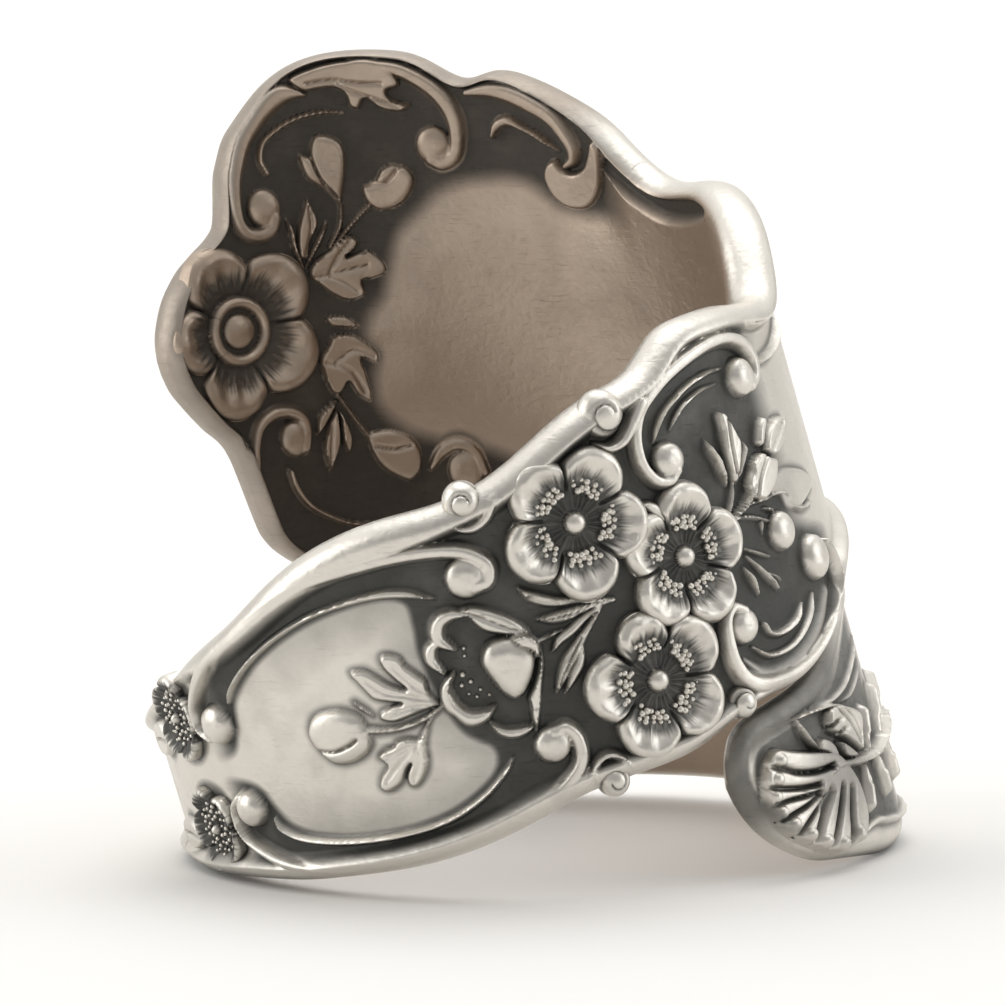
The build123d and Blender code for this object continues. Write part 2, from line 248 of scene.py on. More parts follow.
# The outline as one closed run, with more places where it turns sharply
rim_angles = np.unique(np.concatenate([
    np.arange(-57, 497, 0.5), np.linspace(FIRST_ANGLE, -55, 50), np.linspace(474, LAST_ANGLE, 120)]))
low_line, high_line = flat(rim_angles, low_edge(rim_angles)), flat(rim_angles, high_edge(rim_angles))
RIM_LINE = np.vstack([low_line, high_line[::-1], low_line[:1]])
# Distances from the outline are worked out up to a reach, for a part of the run at a time
RIM_LOOK = 1.6
RIM_PART = 24


def rim_distance(points):
    """How far flat points lie from the strip's outline."""
    best = np.full(len(points), RIM_LOOK)
    for first in range(0, len(RIM_LINE) - 1, RIM_PART):
        part = RIM_LINE[first:first + RIM_PART + 1]
        near = near_to(points, part, RIM_LOOK)
        if near.any():
            best[near] = np.minimum(best[near], nearest(points[near], part)[0])
    return best


# The dark line at the foot of a form and of a button, the height to which its tarnish climbs, how much
# ground is looked at beside a form, and how a button melts into its scroll
FOOT_WIDTH = 0.14
BUTTON_FOOT_WIDTH = 0.16
FOOT_CLIMB = 0.1
BESIDE = 0.5
MELT = 0.16
MELT_FROM = 0.1


def button_form(gap, rise, radius):
    """A button's height by the distance from its middle."""
    edge_round = quarter_round((radius + 0.02 - gap) / (0.85 * radius))
    return rise * edge_round * short_of(gap, radius + 0.05, 0.14)


def ridge_form(gap, half, rise, shape):
    """A line's height: lower where it is thin, rounded at its sides and a little crowned."""
    crown = 1 - 0.25 * np.clip(gap / half, 0, 1) ** 2
    return rise * np.minimum(1, half / 0.1) * ease((half + 0.04 - gap) / (shape * half + 0.08)) * crown


def raised_form(out, rise, shoulder):
    """A flat shape's height by how far outside its line a place lies."""
    return rise * quarter_round((0.03 - out) / shoulder) * short_of(out, 0.06, 0.16)


def foot_form(out, width):
    """How near the foot of a form a place lies."""
    return np.exp(-(np.maximum(out, 0) / width) ** 2)


def strike(angle, height, forms):
    """The struck relief: how far it stands above the ground, and how close its foot is."""
    points = flat(angle, height)
    lift, foot = np.zeros(len(points)), np.zeros(len(points))
    for kind, rise, shoulder, rows in forms:
        line = through(rows, closed=kind == "raised") if len(rows) > 1 else flat(*np.array(rows)[:, :2].T)
        reach = BESIDE + (max(row[2] for row in rows) if kind == "ridge" else shoulder)
        near = near_to(points, line, reach)
        if not near.any():
            continue
        stands = lift[near]
        if kind == "dome":
            gap = np.hypot(*(points[near] - line[0]).T)
            form = button_form(gap, rise, shoulder)
            melt = np.maximum(MELT - np.abs(stands - form), 0) ** 2 / (4 * MELT)
            lift[near] = np.maximum(stands, form) + np.where(np.minimum(stands, form) > MELT_FROM, melt, 0)
            foot[near] = np.maximum(foot[near], foot_form(gap - shoulder, BUTTON_FOOT_WIDTH))
            continue
        gap, found = nearest(points[near], line)
        if kind == "groove":
            depth = rise * (found[:, 2] if found.shape[1] > 2 else 1)
            cut = depth * np.exp(-(gap / shoulder) ** 2)
            lift[near] = stands - np.where(stands > 0.5 * rise, cut, 0)
            continue
        if kind == "ridge":
            half = np.maximum(found[:, 2], 0.02)
            form, out = ridge_form(gap, half, rise, shoulder), gap - half
        else:
            out = np.where(within(points[near], line), -gap, gap)
            form = raised_form(out, rise, shoulder)
        lift[near] = np.maximum(stands, form)
        foot[near] = np.maximum(foot[near], foot_form(out, FOOT_WIDTH))
    return lift, foot * (1 - ease(lift / FOOT_CLIMB))


def ridge(rise, *rows, shape=0.6):
    """A line standing up: rows of angle, height and half width, rounded over a share of that half."""
    return "ridge", rise, shape, rows


def raised(rise, shoulder, *rows):
    """A shape standing up to a flat top, its edge rounded over the shoulder."""
    return "raised", rise, shoulder, rows


def dome(rise, radius, angle, height):
    """A round button."""
    return "dome", rise, radius, ((angle, height),)


def groove(depth, half, *rows):
    """A line sunk in what already stands up; a row may end with a share of the depth."""
    return "groove", depth, half, rows


FIRST_PANEL = (
    # upper scroll
    ridge(.44, (215.6, -4.5, .16), (213.2, -4.2, .16), (212.7, -3.7, .18), (213.9, -3.21, .24),
          (216.8, -2.56, .33), (220.5, -1.94, .40), (225.1, -1.34, .42), (230.7, -.8, .40),
          (238, -.25, .36), (246, .04, .34), (256, .16, .33), (263, .06, .32), (268.2, -.2, .32),
          (271.3, -.72, .34), (270.9, -1.2, .34), (268.8, -1.3, .3)),
    # lower scroll
    ridge(.44, (218.2, -6.3, .2), (216.4, -6.6, .18), (215.9, -7.12, .18), (217.1, -7.61, .16),
          (220.1, -8.01, .2), (223.9, -8.36, .24), (229, -8.6, .24), (236, -8.8, .2), (244, -8.95, .15)),
    ridge(.44, (250, -8.85, .14), (259, -8.5, .26), (266, -8.2, .3), (272, -7.85, .33), (276.5, -7.25, .34),
          (277.4, -6.55, .33), (276.2, -6.05, .3), (274, -6.0, .24)),
    # thin lines round the panel
    ridge(.28, (221.4, -3.4, .07), (223.6, -2.88, .12), (228, -2.24, .12), (233.5, -1.67, .12),
          (240, -1.18, .12), (246, -.93, .12), (253, -.84, .15), (258, -.98, .16), (262.4, -1.36, .04)),
    ridge(.28, (223.9, -7.05, .06), (225.5, -7.4, .11), (229.5, -7.72, .13), (237, -7.93, .13),
          (246, -7.98, .13), (254.4, -7.83, .13), (261, -7.38, .12), (265.5, -6.8, .1), (267, -6.5, .05)),
    # bud on its stem
    raised(.34, .5, (235.9, -4.5), (237.3, -4.1), (239.8, -3.95), (242.7, -3.98), (245.3, -4.21),
           (246.1, -4.6), (246.2, -5.06), (245.1, -5.37), (242.2, -5.59), (239.3, -5.55), (237.6, -5.3),
           (236.4, -4.95)),
    groove(.14, .06, (237.4, -5.08), (240, -5.14), (242.6, -5.04), (244.2, -4.9)),
    ridge(.2, (245.8, -4.71, .12), (249.6, -4.83, .09), (252.8, -4.82, .09), (256.2, -4.68, .09),
          (259.4, -4.42, .08)),
    ridge(.15, (245.2, -3.86, .05), (246.5, -4.1, .07), (247.6, -4.32, .03)),
    # upper leaf
    raised(.22, .12, (258.7, -4.38), (257.6, -3.98), (257.5, -3.63), (256.4, -3.35), (255.1, -3.06),
           (254.4, -2.76), (252.4, -2.6), (251.4, -2.7), (251.6, -2.99), (252.7, -3.34), (254.2, -3.75),
           (251.7, -3.5), (249.8, -3.16), (248.1, -2.93), (246.0, -2.93), (246.7, -3.22), (247.6, -3.52),
           (248.7, -3.83), (250.9, -3.99), (252.9, -4.12), (251.2, -4.15), (249.1, -4.27), (248.9, -4.46),
           (250.8, -4.6), (253.2, -4.55), (255.7, -4.47), (257.7, -4.43)),
    groove(.05, .06, (258, -4.25), (254.5, -3.95), (251, -3.7), (248.5, -3.25)),
    groove(.05, .06, (257.6, -4.1), (255.4, -3.6), (253.2, -2.95)),
    groove(.05, .06, (257, -4.35), (253.5, -4.3), (250.6, -4.4)),
    # lower leaf
    raised(.22, .12, (258.6, -4.54), (256.8, -4.75), (255.6, -5.08), (254.6, -5.49), (254.1, -6.01),
           (252.8, -6.42), (251.3, -6.63), (250.3, -6.52), (250.4, -6.25), (251.5, -5.93), (250.5, -6.1),
           (249.2, -6.43), (246.8, -6.62), (245.5, -6.47), (246.2, -6.18), (247.6, -5.91), (247.4, -5.74),
           (246.6, -5.54), (247.9, -5.39), (249.6, -5.33), (250.3, -5.2), (251.9, -5.17), (253.7, -5.25),
           (254.7, -5.04), (256.5, -4.73)),
    groove(.05, .06, (256.4, -4.9), (253.2, -5.4), (250, -5.85), (247, -6.3)),
    groove(.05, .06, (253.4, -5.4), (252.8, -6.0), (251.4, -6.4)),
    groove(.05, .06, (252.4, -5.4), (248.2, -5.6)),
)

CUP_FLOWER = (
    # petals' lips, broad and a little wavy
    ridge(.42, (266.6, -2.0, .1), (264, -1.9, .26), (262.0, -2.05, .32), (261.3, -2.5, .3),
          (263.2, -2.9, .1)),
    ridge(.36, (261.7, -2.6, .08), (260.0, -2.7, .24), (259.3, -3.04, .26), (260.6, -3.5, .1)),
    ridge(.42, (261.9, -3.6, .08), (260.3, -3.95, .22), (260.2, -4.4, .3), (261.2, -4.72, .26),
          (262.6, -5.0, .32), (264.6, -5.02, .26), (266.5, -4.86, .08)),
    ridge(.36, (265.2, -5.24, .06), (266.6, -5.6, .18), (268.4, -5.76, .23), (270.4, -5.74, .17),
          (271.6, -5.68, .05)),
    # sepals along the top and down the right side
    raised(.4, .2, (265.6, -1.81), (267.6, -1.8), (270.3, -2.08), (272.9, -2.46), (274.9, -2.95),
           (275.5, -3.33), (273.8, -3.12), (271, -2.9), (268.1, -2.6), (266.5, -2.16)),
    groove(.1, .05, (266.7, -1.95), (269.2, -2.29), (272, -2.72), (274.6, -3.05)),
    groove(.05, .06, (268.8, -2.04), (271.6, -2.45), (274, -2.85)),
    raised(.34, .14, (276, -3.47), (275.7, -4.02), (274.4, -4.7), (273.4, -5.25), (271.7, -5.96),
           (271.5, -5.53), (271.7, -5.08), (272, -4.81), (273.8, -4.36), (275, -3.82)),
    groove(.06, .06, (275.4, -3.7), (274.3, -4.4), (272.7, -5.2)),
    # heart bud and the calyx that holds it
    raised(.62, .55, (266.6, -3.3), (267.9, -2.98), (270.6, -2.9), (272.9, -3.04), (274.4, -3.34),
           (274.8, -3.66), (274.2, -4.05), (273, -4.42), (271.5, -4.72), (269.8, -4.82), (268.4, -4.56),
           (267.2, -4.08), (266.4, -3.62)),
    raised(.66, .14, (271.6, -2.96), (273.9, -2.95), (275.5, -3.2), (275.7, -3.52), (274.9, -3.84),
           (274, -3.5), (272.6, -3.3)),
    # fronds between the cup flower and the open ones
    ridge(.27, (275, -1.72, .05), (276.1, -1.98, .18), (278.1, -2.24, .22), (280.5, -2.45, .18),
          (283.5, -2.58, .14), (289, -2.93, .08)),
    ridge(.27, (276.5, -2.76, .05), (278.8, -2.86, .20), (281.5, -2.9, .23), (284.3, -2.86, .16),
          (289, -2.95, .08)),
    ridge(.26, (277.4, -3.8, .05), (278.9, -3.54, .16), (281.1, -3.38, .19), (283.5, -3.15, .16),
          (286.5, -2.98, .08)),
    ridge(.27, (276.2, -5.02, .04), (277.6, -4.62, .20), (279.2, -4.25, .27), (281, -3.94, .24),
          (283.2, -3.55, .16), (286.5, -3.02, .08)),
    ridge(.28, (277.5, -5.1, .04), (279.5, -4.66, .18), (281, -4.35, .20), (282.1, -3.9, .08)),
    ridge(.24, (275.6, -3.38, .08), (277.3, -3.34, .09), (279.8, -3.28, .05)),
    groove(.1, .04, (276, -2.05), (279.5, -2.42), (284, -2.62)),
    groove(.1, .04, (277.5, -2.84), (281.5, -2.9), (285.5, -2.88)),
    groove(.12, .04, (277.2, -4.8), (279.4, -4.25), (282.4, -3.65)),
)

SECOND_PANEL = (
    # upper scroll, its band and the thin lines in it
    ridge(.44, (305, -.1, .26), (303.2, -.28, .3), (301, -.1, .28), (299.4, .5, .28), (299.6, 1.3, .3),
          (301.4, 1.95, .34), (304.5, 2.35, .36), (308.5, 2.66, .36), (313.8, 2.86, .34),
          (319.2, 2.92, .33), (323.8, 2.78, .32), (327.6, 2.4, .33), (329.4, 1.85, .33), (328.8, 1.35, .3),
          (326.6, 1.1, .26)),
    ridge(.26, (303.0, .9, .05), (304.4, 1.32, .11), (307.2, 1.7, .12), (312.2, 2.02, .11),
          (317.3, 2.1, .1), (321.5, 2.0, .05)),
    ridge(.22, (306.8, 1.05, .05), (308.4, 1.34, .1), (311.2, 1.6, .1), (315.2, 1.72, .09),
          (319.6, 1.66, .04)),
    # lower scroll, thinning to an edge line, its trough and the thin lines in it
    ridge(.44, (310.4, -4.75, .24), (308.4, -4.55, .26), (306.6, -4.8, .28), (305.9, -5.4, .32),
          (306, -6.1, .36), (307.6, -6.75, .4), (311.4, -7.18, .42), (317.4, -7.34, .36),
          (324.4, -7.2, .28), (331.4, -6.84, .2), (336.8, -6.42, .15), (339.3, -5.9, .13),
          (339.9, -5.3, .13), (338.9, -4.75, .16), (337.4, -4.4, .16)),
    ridge(.11, (308.6, -6.19, .2), (311.9, -6.84, .4), (316.3, -7.06, .5), (322, -7.0, .6),
          (327.3, -6.7, .6), (331.2, -6.3, .5), (335, -5.8, .4), shape=1.0),
    ridge(.26, (314.6, -5.5, .1), (315.4, -5.82, .11), (318, -6.0, .12), (322, -5.94, .12),
          (325.7, -5.57, .05)),
    ridge(.26, (311, -5.95, .06), (313.6, -6.39, .11), (317.6, -6.53, .13), (321.6, -6.44, .13),
          (325.8, -6.11, .12), (329.6, -5.52, .06)),
    # folds where the scroll meets the neck
    ridge(.42, (327.6, 3.3, .1), (330.5, 2.85, .12), (334.5, 2.6, .14), (338.5, 2.6, .14), (343, 2.75, .14),
          (348, 3.3, .12)),
    ridge(.3, (331.3, 1.61, .06), (334.8, 1.5, .11), (339.5, 1.52, .13), (344, 1.72, .12),
          (348.5, 2.1, .05)),
    # three-lobed leaf
    ridge(.34, (313.1, .36, .03), (313.3, .02, .1), (314.2, -.4, .13), (314.4, -.76, .11),
          (314.9, -1.2, .05)),
    raised(.34, .12, (317.0, .89), (316.8, .41), (316.1, -.11), (315.9, -.54), (315.9, -.93),
           (316.2, -1.26), (317.8, -.98), (319.1, -.62), (320.1, -.2), (319.7, .09), (318.9, .55),
           (318.2, .83)),
    groove(.14, .045, (318.3, .6), (317.6, 0), (316.9, -.95)),
    ridge(.28, (321.9, -.3, .04), (321.3, -.5, .1), (320.1, -.7, .12), (318.3, -1.02, .1),
          (317, -1.3, .05)),
    ridge(.32, (316.4, -1.2, .06), (314.9, -1.66, .08), (312.4, -2.11, .09), (311.2, -2.25, .08)),
    # spray of rounder leaves
    raised(.3, .1, (328.3, .08), (328.9, -.09), (327.7, -.33), (325.8, -.7), (324.9, -.5), (326.5, -.07)),
    raised(.3, .14, (333.6, -.23), (336.5, -.4), (334.7, -.7), (332.4, -1.01), (329.4, -1.19),
           (327.3, -1.01), (326.6, -.79), (328.8, -.39), (331.6, -.25)),
    groove(.1, .05, (327.6, -.98), (330.4, -.75), (334, -.45)),
    raised(.36, .16, (325, -.82), (326.5, -1.03), (328.3, -1.23), (327.8, -1.53), (326.1, -1.87),
           (324.1, -2.06), (322.1, -2.15), (320.1, -1.97), (318.9, -1.63), (319.1, -1.37), (321, -1.05),
           (323.1, -.85)),
    groove(.14, .05, (325.6, -.98), (322.4, -1.4), (320.4, -1.85)),
    ridge(.46, (324, -.85, .05), (321.2, -1.11, .09), (320.8, -1.45, .09), (319.1, -1.72, .1),
          (316.9, -1.98, .1), (314.4, -2.12, .09), (312.4, -2.24, .08)),
    raised(.13, .2, (319, -2.05), (323.1, -2.12), (327.8, -2.35), (329, -2.82), (333.1, -3.1), (338, -3.02),
           (342.9, -2.82), (340.6, -2.3), (333.3, -1.79), (328.6, -1.66), (325.6, -1.78), (322.9, -1.91)),
    ridge(.3, (319.1, -2.04, .07), (323, -2.16, .08), (326.5, -2.21, .07), (330.1, -2.44, .07),
          (330.9, -2.85, .07), (334.3, -3.14, .08), (338.8, -3.19, .05)),
    # bud
    ridge(.26, (312.4, -2.24, .08), (315.9, -2.26, .08), (319.2, -2.47, .08), (322.5, -2.8, .07)),
    dome(.44, .62, 325.1, -3.28),
    ridge(.28, (322.3, -2.38, .04), (323.6, -2.5, .08), (324.8, -2.64, .05)),
    ridge(.28, (320.7, -2.72, .07), (320.5, -3.07, .04)),
    # lower leaf
    ridge(.26, (315.1, -3.17, .05), (317.4, -3.46, .09), (320.5, -3.78, .06)),
    ridge(.3, (315, -3.4, .05), (316.5, -3.84, .1), (318.2, -4.25, .12), (320.2, -4.75, .07)),
    ridge(.3, (318.2, -4.15, .08), (320.2, -4.38, .08), (321.6, -4.61, .05)),
    ridge(.28, (313.9, -3.69, .05), (314.7, -4.08, .1), (315.4, -4.6, .06)),
    # bud between two flowers
    raised(.36, .25, (297, -.56), (299.4, -.6), (301, -.95), (300.9, -1.41), (299.3, -1.28), (298, -.92)),
)

WAIST = (
    raised(.3, .15, (206.5, -2.62), (209.5, -2.4), (213.5, -2.4), (216.8, -2.02), (214.6, -2.0),
           (210.6, -2.24), (207.4, -2.4)),
    raised(.24, .15, (193.6, -7.44), (198.4, -7.5), (200.4, -7.9), (198.6, -8.3), (192.4, -8.5),
           (190.6, -7.95)),
    groove(.1, .05, (192.2, -7.95), (196, -7.9), (199.6, -7.95)),
    raised(.24, .15, (190.5, -4.7), (194.5, -4.3), (197.6, -4.6), (197.4, -5.2), (193.8, -5.5),
           (190.2, -5.3)),
    groove(.1, .05, (191.2, -5.0), (194, -4.9), (197, -4.9)),
)

KNOB_CURLS = (
    ridge(.5, (302, 2.2, .34), (299.6, 1.75, .3), (297, 1.35, .26), (294.6, 1.3, .2), (292.6, 1.55, .08)),
    ridge(.48, (275, 1.1, .3), (273.4, .62, .26), (271.2, .4, .22), (269, .46, .14), (267.6, .7, .05)),
    ridge(.5, (277.6, -8.0, .12), (278.4, -7.45, .15), (280.7, -7.18, .16), (283, -7.4, .15),
          (284.2, -7.9, .1)),
)


def lobe(*rows):
    """A leaf lobe that swells to a round end, with a shallow midrib."""
    ribs = [row[:2] for row in rows[:-1]]
    return ridge(.36, *rows, shape=.8), groove(.08, .06, *ribs)


FAN = (
    # the shell of lobes round the end, cut apart by dark lines, each lobe swelling at its tip
    raised(.42, .2, (-34.5, -10.35), (-38, -10.0), (-42, -9.72), (-46, -9.4), (-49.3, -9.12), (-51.8, -9.3),
           (-53.3, -9.75), (-54, -10.3), (-53.9, -10.8), (-52.6, -11.4), (-49.6, -12.0), (-46, -12.5),
           (-42, -12.95), (-38, -13.12), (-34, -13.05), (-31.4, -12.6), (-30.8, -11.9), (-31.6, -11.2)),
    *(dome(.56, radius, angle, height) for angle, height, radius in (
        (-49.6, -9.48, .27), (-51.2, -9.93, .25), (-52.5, -10.38, .24), (-52.2, -10.9, .25),
        (-50.4, -11.42, .28), (-47.4, -11.98, .27), (-44.4, -12.42, .28), (-40.4, -12.8, .3),
        (-35.6, -12.8, .32))),
    groove(.32, .085, (-37.5, -10.51, 1), (-42.1, -10.36, 1), (-46.4, -10.08, .95), (-49.2, -9.76, .8),
           (-52.4, -9.45, .3)),
    groove(.32, .075, (-42.1, -10.76, .8), (-46.1, -10.58, 1), (-50.1, -10.32, .9), (-54, -10.0, .3)),
    groove(.3, .065, (-42.6, -10.96, .7), (-46.7, -10.83, 1), (-50.0, -10.7, .9), (-54.2, -10.62, .3)),
    groove(.32, .075, (-42.3, -11.04, .7), (-46.5, -11.13, 1), (-50.1, -11.15, .9), (-53.8, -11.19, .3)),
    groove(.32, .085, (-41.6, -11.20, .7), (-45.3, -11.45, 1), (-48.4, -11.7, .9), (-50.9, -11.95, .3)),
    groove(.36, .13, (-39.9, -11.15, .6), (-43.2, -11.61, 1), (-45.6, -12.06, .9), (-47, -12.4, .2)),
    groove(.34, .1, (-36.6, -11.20, .6), (-38.9, -11.76, 1), (-41.6, -12.36, .9), (-43.8, -12.8, .2)),
    groove(.36, .12, (-34.2, -11.45, .6), (-36.1, -12.11, 1), (-37.2, -12.63, .9), (-39, -13.1, .2)),
    # the leaf's upper lobes
    raised(.36, .1, (-33, -8.98), (-27.5, -9.25), (-23.1, -9.79), (-24.6, -10.39), (-26.4, -10.8),
           (-28.8, -10.41), (-31.8, -9.97), (-34.3, -9.66), (-34.6, -9.3)),
    groove(.3, .07, (-35.2, -9.5, 1), (-32.6, -9.46, .8), (-30.6, -9.5, .1)),
    groove(.3, .07, (-33.6, -9.86, 1), (-31.2, -9.8, .7), (-29.6, -9.86, .1)),
    groove(.14, .06, (-31, -9.15), (-28.4, -9.7), (-26.4, -10.5)),
    groove(.1, .05, (-29, -9.2), (-26.6, -9.7), (-25.6, -10.3)),
    raised(.34, .1, (-39.6, -9.84), (-37.3, -9.63), (-35.0, -9.99), (-34.8, -10.45), (-37.8, -10.1)),
    raised(.36, .1, (-32.8, -10.05), (-29.8, -10.46), (-28.1, -10.86), (-32.6, -10.6)),
    ridge(.3, (-43.2, -8.67, .05), (-38.3, -8.75, .09), (-32.6, -8.94, .1), (-27.5, -9.25, .06)),
    ridge(.32, (-42.2, -8.68, .05), (-41.6, -9.13, .1), (-40.5, -9.55, .12), (-38.5, -10.04, .05)),
    # stalk, the next leaves along it and the thin lines by the rims
    ridge(.5, (-41, -10.8, .05), (-36.3, -10.62, .13), (-31, -10.85, .18), (-24.5, -11.1, .2),
          (-18, -11.25, .17), (-8, -11.1, .14), (6, -10.9, .05)),
    *lobe((-26, -11.25, .1), (-26.4, -11.8, .28), (-27.6, -12.4, .38)),
    *lobe((-19, -11.3, .1), (-18, -11.9, .26), (-17.8, -12.5, .36)),
    *lobe((-10, -11.2, .1), (-8.4, -11.9, .24), (-8, -12.6, .3)),
    *lobe((-22.6, -11.2, .1), (-21.4, -10.6, .24), (-19.6, -9.95, .34)),
    *lobe((-14, -11.2, .1), (-11.2, -10.6, .24), (-8, -9.9, .34)),
    *lobe((-5, -11.1, .1), (-1.6, -10.5, .24), (1.6, -9.9, .28)),
    ridge(.16, (-38.6, -8.7, .04), (-34, -8.82, .11), (-29, -8.9, .12), (-23, -8.82, .12), (-16, -8.5, .12),
          (-8, -8.1, .05)),
    ridge(.14, (-27.6, -9.14, .04), (-22.4, -9.22, .1), (-17, -9.06, .11), (-10, -8.75, .05)),
    ridge(.24, (-33, -13.1, .04), (-30, -12.98, .12), (-25.4, -13.06, .14), (-20.4, -13.36, .14),
          (-10, -13.8, .12), (4, -13.9, .05)),
)

TIP_SCROLLS = (
    ridge(.38, (468.2, 7.5, .34), (469.6, 7.2, .34), (472, 7.16, .32), (474.4, 7.4, .32),
          (475.2, 7.95, .34), (474.2, 8.95, .44), (472.1, 9.72, .5), (470, 10.25, .54), (467.6, 10.64, .57),
          (465, 10.95, .57), (462.4, 11.14, .52), (460, 11.2, .42), (457.8, 11.1, .24),
          (456.2, 10.95, .08)),
    ridge(.3, (467.2, 8.95, .14), (467.7, 9.4, .15), (466.4, 9.88, .14), (463.3, 10.16, .13),
          (459.2, 10.32, .12), (454.4, 10.28, .1), (450.4, 10.06, .05)),
    raised(.38, .2, (458.4, 11.6), (453.5, 11.74), (447.9, 11.68), (443.2, 11.42), (439.8, 11.0),
           (438.9, 10.45), (441.4, 10.36), (440.9, 10.05), (438, 9.75), (440.2, 9.6), (443.6, 9.87),
           (445.7, 10.3), (447.4, 10.04), (448.9, 10.2), (449.2, 10.62), (450.8, 10.9), (453.6, 11.0),
           (456.6, 11.1)),
    groove(.08, .06, (455.6, 11.3), (451, 11.2), (446.6, 10.9), (442, 10.65)),
    groove(.08, .06, (450, 11.05), (447.5, 10.65), (443.6, 10.2), (440, 9.76)),
    ridge(.38, (450, 11.54, .16), (445.1, 11.44, .24), (442, 11.22, .28), (438.3, 10.9, .34),
          (435, 10.42, .38), (432.2, 9.8, .42), (430.8, 9.1, .44), (431.2, 8.35, .4), (432.7, 7.84, .4),
          (435.2, 7.7, .38), (437, 7.9, .34)),
    ridge(.38, (427, 9.7, .16), (422.8, 9.62, .32), (418.6, 9.34, .42), (414.8, 8.9, .44),
          (411.4, 8.4, .42), (409.4, 7.8, .38), (408.4, 7.3, .34), (409, 6.95, .26), (410.8, 6.8, .16)),
    raised(.38, .2, (401.6, 7.4), (402.5, 6.55), (404.6, 5.8), (408.2, 5.35), (412.4, 5.42), (415.2, 5.85),
           (416.2, 6.5), (415, 6.95), (412.8, 7.05), (411.8, 6.74), (409.6, 6.56), (407, 6.66),
           (405.1, 7.0), (403.4, 7.45)),
    ridge(.34, (424.4, 8.16, .12), (423, 8.46, .24), (420.6, 8.54, .24), (418.2, 8.26, .14),
          (415.2, 7.86, .12), (411.9, 7.3, .06)),
    # lower scrolls
    ridge(.38, (475.2, .25, .3), (474, .8, .3), (474.4, 1.22, .3), (476.6, 1.52, .28), (479.8, 1.62, .27),
          (483.1, 1.4, .26), (485.2, .9, .24), (486.4, .2, .18), (486.6, -.4, .08)),
    ridge(.3, (479.4, -.35, .14), (479.2, -.85, .16), (477.8, -1.5, .14), (474.6, -2.1, .13),
          (470, -2.65, .11), (463, -3.0, .05)),
    ridge(.36, (443.6, -2.3, .26), (444.3, -1.6, .3), (447, -1.2, .32), (450.4, -1.3, .3),
          (453, -1.7, .16)),
    ridge(.36, (440, -4.6, .06), (446, -4.6, .24), (455, -4.7, .28), (464, -4.45, .26), (471, -3.85, .2),
          (477, -3.1, .1)),
)

